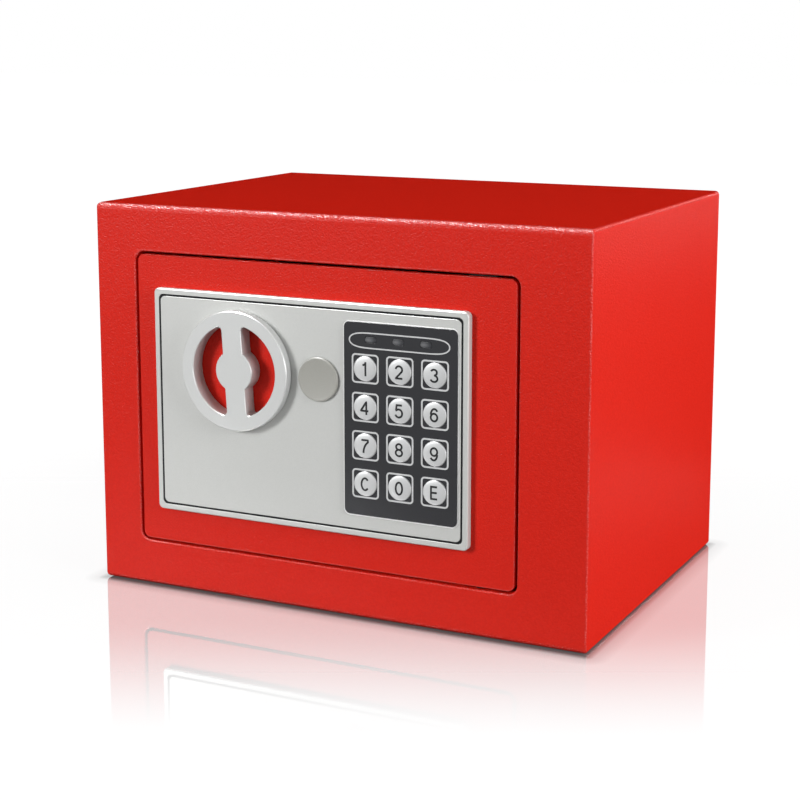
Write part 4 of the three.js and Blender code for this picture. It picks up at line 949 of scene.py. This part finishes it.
def centre_lines():
    """The strokes of each numeral, in mm about the numeral's middle."""
    w, h, end, left = HALF_W, HALF_H, STROKE_END, 0.2 - HALF_W
    upper, lower = h * 0.53, -h * 0.47
    small, large = h - upper, h + lower
    stem = line(bow(0.15, 0, w + 0.15, h, 178, 55), bow(0.15, 0, w + 0.15, h, 54, 38, 4))
    six = [bowl(0, -0.95, w, h - 0.95), stem]
    return {
        "1": [line((0.5, -end), (0.5, end)),
              line((-0.85, 1.62), bow(-0.85, 2.75, 1.3, 1.13, -70, -8, 8))],
        "2": [line(bow(0, h - 1.45, w, 1.45, 172, -32), (-w, -h), (w + 0.1, -h))],
        "3": [line(bow(-0.1, upper, w - 0.15, small, 160, -88),
                   bow(-0.1, lower + 0.02, w + 0.1, large - 0.02, 84, -162))],
        "4": [line((0.85, -end), (0.85, h), (-w - 0.2, -1.3), (w + 0.35, -1.3))],
        "5": [line((w - 0.1, h), (0.4 - w, h), bow(-0.1, -0.85, w + 0.1, h - 0.85, 140, -160))],
        "6": six,
        "7": [line((-w - 0.05, h), (w, h), bow(3.4, -end, 3.9, 5.3, 118, 180, 12))],
        "8": [bowl(0, upper, w - 0.2, small), bowl(0, lower, w, large)],
        "9": [(-points, closed) for points, closed in six],
        "0": [bowl(0, 0, w, h, 352, 45)],
        "C": [line(bow(0.15, 0, w + 0.15, h, 40, 320, 36))],
        "E": [line((w, h), (left, h), (left, -h), (w + 0.05, -h)),
              line((left, 0.1), (w - 0.1, 0.1))],
    }


# %% Numerals
def finely(points, closed, step=0.35):
    """The same line with more points, so that no gap between neighbours is wider than step."""
    if closed:
        points = np.vstack([points, points[:1]])
    pieces = []
    for a, b in zip(points[:-1], points[1:]):
        count = max(1, int(np.ceil(np.hypot(*(b - a)) / step)))
        pieces.append(a + (b - a) * np.linspace(0, 1, count, endpoint=False)[:, None])
    return np.vstack(pieces if closed else [*pieces, points[-1:]])


def sides_of(points, closed):
    """Both edges of a stroke: each point moved by half the width along its mitre, the mean of the
    two neighbouring normals over the square of its length."""
    ahead = np.roll(points, -1, axis=0) - points
    ahead /= np.maximum(np.hypot(ahead[:, 0], ahead[:, 1]), 1e-9)[:, None]
    if not closed:
        ahead[-1] = ahead[-2]
    behind = np.roll(ahead, 1, axis=0)
    if not closed:
        behind[0] = ahead[0]
    normal = (ahead + behind)[:, [1, 0]] * [1, -1] / 2
    mitre = normal / np.maximum((normal**2).sum(axis=1), 0.35)[:, None]
    return points + mitre * NUMERAL_STROKE / 2, points - mitre * NUMERAL_STROKE / 2


def numeral(name, strokes, x, z):
    """A printed numeral: slabs of ink along its strokes, laid on the key's dome."""
    rings, faces, start = [], [], 0
    for layer, (points, closed) in enumerate(strokes):
        right, left = sides_of(finely(points, closed), closed)
        count = len(right)
        for edge, lift in ((right, -INK), (left, -INK), (left, INK), (right, INK)):
            depth = dome(np.hypot(edge[:, 0], edge[:, 1])) + lift * (1 - 0.1 * layer)
            rings.append(np.stack([x + edge[:, 0], depth, z + edge[:, 1]], axis=1))
        number = start + np.arange(4 * count).reshape(4, count)
        across = np.roll(number, -1, axis=0)
        stop = count if closed else count - 1
        after = np.roll(number, -1, axis=1)[:, :stop]
        further = np.roll(across, -1, axis=1)[:, :stop]
        quads = np.stack([number[:, :stop], after, further, across[:, :stop]], axis=-1)
        faces += quads.reshape(-1, 4).tolist()
        if not closed:
            faces += [number[:, 0].tolist(), number[::-1, -1].tolist()]
        start += 4 * count
    return mesh_piece(name, np.vstack(rings), faces)


strokes = centre_lines()
for name, place in key_places.items():
    mark = numeral("numeral_" + name, strokes[KEY_LABELS[name]], *place)
    dress(mark, ink_dark, "key_" + name, "black_plastic")
print("numerals", 2 * HALF_W + NUMERAL_STROKE, "x", 2 * STROKE_END, "mm")

# %% Printed frames
FRAME_SIZE = 12.3
FRAME_LINE = 0.72
FRAME_CORNER = 1.7
LENS_HALF_WIDTH, LENS_HALF_HEIGHT = 22.8, 3.4
LENS_LINE = 0.55
LENS_X, LENS_Z = KEYPAD[0] - 0.4, lamp_boxes[0][1] - 0.3
LENS_POWER = 8


def printed_line(name, outer, inner):
    """A closed line of ink between two outlines, just proud of the film."""
    front, back = OVERLAY_FACE - INK, OVERLAY_FACE + HAIR
    rings = [(outer, front), (inner, front), (inner, back), (outer, back)]
    ink = closed_section(name, [at_depth(*ring) for ring in rings])
    dress(ink, ink_light, "door", "silver_plastic")


def lens(grow):
    """A lens: a superellipse, power 8 along and 2 across, so that the ends stay round."""
    angle = np.linspace(0, 2 * math.pi, 160, endpoint=False)
    along = np.sign(np.cos(angle)) * np.abs(np.cos(angle)) ** (2 / LENS_POWER)
    px = LENS_X + (LENS_HALF_WIDTH + grow) * along
    pz = LENS_Z + (LENS_HALF_HEIGHT + grow) * np.sin(angle)
    return np.stack([px, pz], axis=1)


for name, place in key_places.items():
    square = (*place, FRAME_SIZE, FRAME_SIZE)
    inner = rounded(square, FRAME_LINE, FRAME_CORNER - FRAME_LINE, 8)
    printed_line("frame_" + name, rounded(square, 0, FRAME_CORNER, 8), inner)
printed_line("frame_lamps", lens(0), lens(-LENS_LINE))
print("printed frames:", len(key_places) + 1)

# %% Lamps
SMUDGE_IN = 1.5
SMUDGE_REACH = 0.003


def unlit_lamp(name, box):
    """A lamp seen through the film: a grey smudge near its left end. The share grows with the
    distance from the smudge's middle, with height counted twice."""
    material, tree, shader = new_finish(name, (0.1, 0.1, 0.105), 0.30, Specular_IOR_Level=0.25)
    x, z, width, _ = box
    smudge = ((x - width / 2 + SMUDGE_IN) * MM, 0, z * MM)
    away = vector_node(tree, "SUBTRACT", object_coordinates(tree), smudge)
    flat = vector_node(tree, "MULTIPLY", away, (1, 0, 2))
    distance = vector_node(tree, "LENGTH", flat, result="Value")
    grain = noise(tree, 1500)
    faded = spread(tree, distance, 0, SMUDGE_REACH)
    share = spread(tree, math_node(tree, "MULTIPLY_ADD", grain, 0.25, faded), 0.15, 1.05)
    tint(tree, shader, share, (0.150, 0.152, 0.158), (0.028, 0.029, 0.034))
    relief(tree, shader, grain, FINE)
    return material


for number, box in enumerate(lamp_boxes, 1):
    node = f"led_{number}"
    outline = drawn_in(box, LAMP_CORNER, steps=8)
    block = plate(f"lamp_{number}", [outline], eased(*depths(node), LAMP_EDGE, steps=3))
    dress(block, unlit_lamp(f"unlit lamp {number}", box), "door", "led_lens", node)
print("lamps:", len(lamp_boxes))

# %% [markdown]
# ## Metalwork and mouldings inside
# The lock work, the hinge blocks, the stops, the inner cover and the battery box are already the
# right shape in the CAD. What they lack is broken edges: no cut or folded edge is truly sharp,
# and the thin highlight along it is what makes metal look like metal. So each gets a copy whose
# loose triangles are merged and whose edges are bevelled.

# %% Refined copies
MERGE = 2e-6
ALMOST_FLAT, EDGE_TURN = math.radians(1.0), math.radians(32)


def refined(node, name, width):
    """A copy of a node with bevelled edges and smooth shading between them."""
    shape = bmesh.new()
    shape.from_mesh(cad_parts[node].data)
    bmesh.ops.remove_doubles(shape, verts=shape.verts, dist=MERGE)
    bmesh.ops.dissolve_limit(
        shape, angle_limit=ALMOST_FLAT, verts=shape.verts, edges=shape.edges
    )
    mesh = bpy.data.meshes.new(name)
    shape.to_mesh(mesh)
    shape.free()
    piece = placed(name, mesh)
    bevel = piece.modifiers.new("bevel", "BEVEL")
    bevel.width = width * MM
    bevel.segments = 2
    bevel.limit_method = "ANGLE"
    bevel.angle_limit = EDGE_TURN
    weighted = piece.modifiers.new("weighted", "WEIGHTED_NORMAL")
    weighted.keep_sharp = True
    mesh.shade_smooth()
    settle(piece)
    return piece


INSIDE = [
    (red_coat, "red_powder_coat", "cabinet", [
        ("back_panel", "back_sheet", 0.2), ("hinge_bracket_upper", "upper_bracket", 0.4),
        ("hinge_bracket_lower", "lower_bracket", 0.4),
        ("door_stop_upper", "upper_stop", 0.3), ("door_stop_lower", "lower_stop", 0.3),
    ]),
    # The hinge pins take the near-black steel, which is painted shade for the door gap.
    (pin_steel_painted_shade, "zinc_steel", "door", [
        ("hinge_pin_upper", "upper_pin", 0.3), ("hinge_pin_lower", "lower_pin", 0.3),
    ]),
    (zinc, "zinc_steel", "door", [("lock_chassis", "chassis_plate", 0.3)]),
    (black_moulded, "black_plastic", "door", [
        ("inner_cover", "cover_box", 0.6), ("battery_box", "cell_box", 0.25),
    ]),
    (black_moulded, "black_plastic", "battery_lid", [("battery_lid", "cell_lid", 0.4)]),
    (zinc, "zinc_steel", "door", [("solenoid_frame", "coil_frame", 0.2)]),
    (zinc, "zinc_steel", "bolts", [("bolt_carriage", "carriage_plate", 0.25)]),
    (zinc, "zinc_steel", "knob", [("knob_crank", "crank", 0.25)]),
    (zinc, "zinc_steel", "door", [("lock_nut", "hexagon_nut", 0.3)]),
    (zinc, "zinc_steel", "lock_plug", [("lock_cam", "cam_arm", 0.25)]),
    (brass_metal, "brass", "lock_plug", [("lock_plug", "keyway_plug", 0.15)]),
]
for material, slot, body, copies in INSIDE:
    for node, name, width in copies:
        dress(refined(node, name, width), material, body, slot, node)
    print(body, "in", material.name + ":", len(copies))

# %% Grip on the battery lid
GRIP_RIBS = 5
GRIP_START, GRIP_PITCH = 6, 2.2
GRIP_HALF, GRIP_RISE = 0.5, 0.5
GRIP_LENGTH = 18
RIB_POINTS = 9


def grip_ribs():
    """Ribs across the lid near its lower edge. Each is a half ellipse carried sideways: depth
    is the rise times the sine, height the half width times the cosine, of the same angle."""
    x0, x1, _, back, foot, _ = span("battery_lid")
    angle = np.linspace(0, math.pi, RIB_POINTS)
    points, faces = [], []
    for number in range(GRIP_RIBS):
        z = foot + GRIP_START + GRIP_PITCH * number
        depth = back - 0.05 + GRIP_RISE * np.sin(angle)
        for end in (-GRIP_LENGTH / 2, GRIP_LENGTH / 2):
            x = np.full(RIB_POINTS, (x0 + x1) / 2 + end)
            points.append(np.stack([x, depth, z + GRIP_HALF * np.cos(angle)], axis=1))
        left, right = np.arange(2 * RIB_POINTS).reshape(2, -1) + 2 * RIB_POINTS * number
        faces += strip(left, right) + [left.tolist(), right[::-1].tolist()]
    return mesh_piece("lid_grip", np.vstack(points), faces, 50)


dress(grip_ribs(), black_moulded, "battery_lid", "black_plastic")
print("grip ribs:", GRIP_RIBS)

# %% [markdown]
# ## Nodes that stay as the CAD made them
# Round bars, the coil, the spring, the cells and the flat boards are mostly hidden behind the
# cover. Their shape is right, so they only change their finish.

# %% Finishes on CAD nodes
CAD_FINISHES = [
    (board_green, ["keypad_board"]),
    (zinc, ["key_dome_sheet", "cover_screw_upper", "cover_screw_lower"]),
    (turned_steel, ["knob_shaft", "bolt_upper", "bolt_lower", "plunger", "plunger_spring"]),
    (coil_copper, ["solenoid_coil"]),
    (brass_metal, ["lock_barrel"]),
    (jacket, ["battery_1", "battery_2", "battery_3", "battery_4"]),
    (sleeve, ["battery_lead"]),
    (button_red, ["reset_button"]),
]
for material, nodes in CAD_FINISHES:
    for node in nodes:
        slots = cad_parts[node].data.materials
        slots.clear()
        slots.append(material)
print("finishes on CAD nodes:", len(CAD_FINISHES))

# %% [markdown]
# ## Felt mat
# A thin felt lies on the safe's floor. It is a sheet with a soft edge: a slab whose top dips and
# rises by a tenth of a millimetre, so that it doesn't look like board.

# %% Felt mat
MAT_COLUMNS, MAT_ROWS = 90, 64
EDGE_FALL, EDGE_WIDTH = 0.5, 0.8
WAVE = 0.10
WAVE_X, BEND_Y, WAVE_Y = 9.0, 13.0, 11.0


def felt_sheet(x0, x1, y0, y1, z0, z1):
    """Two grids of points, top and bottom, joined round the edge. The top's height is the
    sheet's thickness less a slow wave, and it falls off within a millimetre of the edge."""
    gx, gy = np.meshgrid(np.linspace(x0, x1, MAT_COLUMNS), np.linspace(y0, y1, MAT_ROWS))
    edge = np.minimum.reduce([gx - x0, x1 - gx, gy - y0, y1 - gy])
    fall = EDGE_FALL * np.exp(-edge / EDGE_WIDTH)
    wave = WAVE * (1 + np.sin(gx / WAVE_X + 1.3 * np.sin(gy / BEND_Y)) * np.cos(gy / WAVE_Y))
    top = np.stack([gx, gy, z1 - wave - fall], axis=-1)
    low = np.stack([gx, gy, np.full_like(gx, z0)], axis=-1)
    numbers = np.arange(gx.size).reshape(gx.shape)
    a, b, c, d = numbers[:-1, :-1], numbers[:-1, 1:], numbers[1:, 1:], numbers[1:, :-1]
    quads = np.stack([a, b, c, d], axis=-1).reshape(-1, 4)
    under = quads[:, ::-1] + numbers.size
    loop = np.concatenate([numbers[0], numbers[1:, -1], numbers[-1, -2::-1], numbers[-2:0:-1, 0]])
    faces = quads.tolist() + under.tolist() + strip(loop, loop + numbers.size)
    return mesh_piece("felt_mat", np.vstack([top.reshape(-1, 3), low.reshape(-1, 3)]), faces, 60)


mat_box = span("floor_mat")
mat = felt_sheet(*mat_box)
dress(mat, felt, "cabinet", "felt", "floor_mat")

# %% [markdown]
# ## Stage and light
# A pale floor and soft light from large lamps. The floor shows white to the camera. It keeps the
# safe's cast shadow, with a painted contact shadow where the safe stands, and a reflection of it
# that fades, as on a glossy studio table.

# %% Helpers for the background
WHITE = (1, 1, 1, 1)


def background_rays(tree):
    """One for rays that meet the background: the camera's, and those mirrored or refracted."""
    path = add(tree, "LightPath").outputs
    either = math_node(tree, "MAXIMUM", path["Is Camera Ray"], path["Is Glossy Ray"])
    return math_node(tree, "MAXIMUM", either, path["Is Transmission Ray"])


def from_footprint(tree):
    """The distance to the cabinet's footprint: the length of what x and y have beyond it."""
    absolute = vector_node(tree, "ABSOLUTE", object_coordinates(tree))
    beyond = vector_node(tree, "SUBTRACT", absolute, (CABINET[2] / 2 * MM, BACK * MM, 0))
    outside = vector_node(tree, "MAXIMUM", beyond, (0, 0, 0))
    return vector_node(tree, "LENGTH", outside, result="Value")


def before_or_behind(tree):
    """How far a point of the floor lies before or behind the middle, on a line at CAMERA_YAW."""
    yaw = math.radians(CAMERA_YAW)
    ahead = (math.sin(yaw), -math.cos(yaw), 0)
    way = vector_node(tree, "DOT_PRODUCT", object_coordinates(tree), ahead, result="Value")
    return math_node(tree, "ABSOLUTE", way)


# %% Floor
FLOOR_REACH, FLOOR_Z = 6.0, -0.0002
MATT = 0.12
NEAR_LIFT, FAR_LIFT = 0.87, 0.96
LIFT_REACH = 0.30
# Painted contact shadow: how far from the footprint it reaches, and how low it takes the lift.
PAINTED_SHADOW_LINE, LINE_LIFT = 0.0035, 0.10
PAINTED_SHADOW_EDGE, EDGE_LIFT = 0.010, 0.60
REFLECTION, GLOSS = 0.49, 0.025
FADE_ALONG = (0.078, 0.218)
FADE_AROUND = (0.14, 0.30)


def studio_floor():
    """A pale floor: matt, with a lift towards white and a mirror gloss near the safe that only
    the background's rays see. The lift is low within a few millimetres of the footprint, which is a
    painted contact shadow. The gloss fades out in S curves away from the safe, and sooner before
    and behind it."""
    material = bpy.data.materials.new("studio floor")
    material.use_nodes = True
    tree = material.node_tree
    tree.nodes.clear()
    distance, rays = from_footprint(tree), background_rays(tree)
    # Painted contact shadow: the lift drops within a few millimetres of the footprint.
    line = spread(tree, distance, 0, PAINTED_SHADOW_LINE, LINE_LIFT, 1)
    edge = spread(tree, distance, 0, PAINTED_SHADOW_EDGE, EDGE_LIFT, 1)
    around = spread(tree, distance, PAINTED_SHADOW_EDGE, LIFT_REACH, NEAR_LIFT, FAR_LIFT)
    strength = math_node(tree, "MULTIPLY", math_node(tree, "MULTIPLY", line, edge), around)
    matt = add(tree, "BsdfDiffuse", color=(MATT, MATT, MATT, 1))
    lift = add(tree, "Emission", strength=math_node(tree, "MULTIPLY", strength, rays))
    lifted = add(tree, "AddShader", matt.outputs[0], lift.outputs[0])
    gloss = add(tree, "BsdfGlossy", color=WHITE, roughness=GLOSS)
    along = spread(tree, before_or_behind(tree), *FADE_ALONG, REFLECTION, 0, "SMOOTHSTEP")
    away = spread(tree, distance, *FADE_AROUND, 1, 0, "SMOOTHSTEP")
    share = math_node(tree, "MULTIPLY", math_node(tree, "MULTIPLY", along, away), rays)
    mix = add(tree, "MixShader", share, lifted.outputs[0], gloss.outputs[0])
    add(tree, "OutputMaterial", mix.outputs[0])
    mesh = bpy.data.meshes.new("floor")
    corners = [(-1, -1), (1, -1), (1, 1), (-1, 1)]
    points = [(x * FLOOR_REACH, y * FLOOR_REACH, FLOOR_Z) for x, y in corners]
    mesh.from_pydata(points, [], [(0, 1, 2, 3)])
    mesh.materials.append(material)
    placed("floor", mesh)


studio_floor()
print("floor reflects", REFLECTION, "near the safe")

# %% Lamps and sky
SKY = 0.38
AIM = (0, 0, 0.09)


def soft_sky():
    """An even pale sky for light, and plain white for the background's rays."""
    world = bpy.data.worlds.new("sky")
    bpy.context.scene.world = world
    world.use_nodes = True
    tree = world.node_tree
    tree.nodes.clear()
    light = add(tree, "Background", color=WHITE, strength=SKY)
    white = add(tree, "Background", color=WHITE, strength=1.0)
    mix = add(tree, "MixShader", background_rays(tree), light.outputs[0], white.outputs[0])
    add(tree, "OutputWorld", mix.outputs[0])


def lamp(name, place, target, size, power, glint=False):
    """A square soft box at place that faces target. A glint only shows in glossy surfaces: it
    draws the bright lines on folds and edges and leaves the light level alone."""
    data = bpy.data.lights.new(name, "AREA")
    data.shape = "SQUARE"
    data.size = size
    data.energy = power
    soft_box = placed(name, data)
    soft_box.location = place
    aim = Vector(target) - Vector(place)
    soft_box.rotation_euler = aim.to_track_quat("-Z", "Y").to_euler()
    soft_box.visible_diffuse = not glint


soft_sky()
lamp("key", (-0.90, -1.27, 0.55), AIM, 0.42, 19.3)
lamp("side", (1.45, -0.30, 0.50), AIM, 0.8, 22.5)
lamp("back", (0.35, 1.70, 0.24), AIM, 0.44, 14)
lamp("overhead glint", (-0.48, -0.20, 1.20), (0, -0.08, 0.17), 0.30, 70, glint=True)
lamp("side glint", (1.25, -0.62, 0.16), (0, -0.08, 0.09), 0.35, 6, glint=True)
print("sky", SKY)
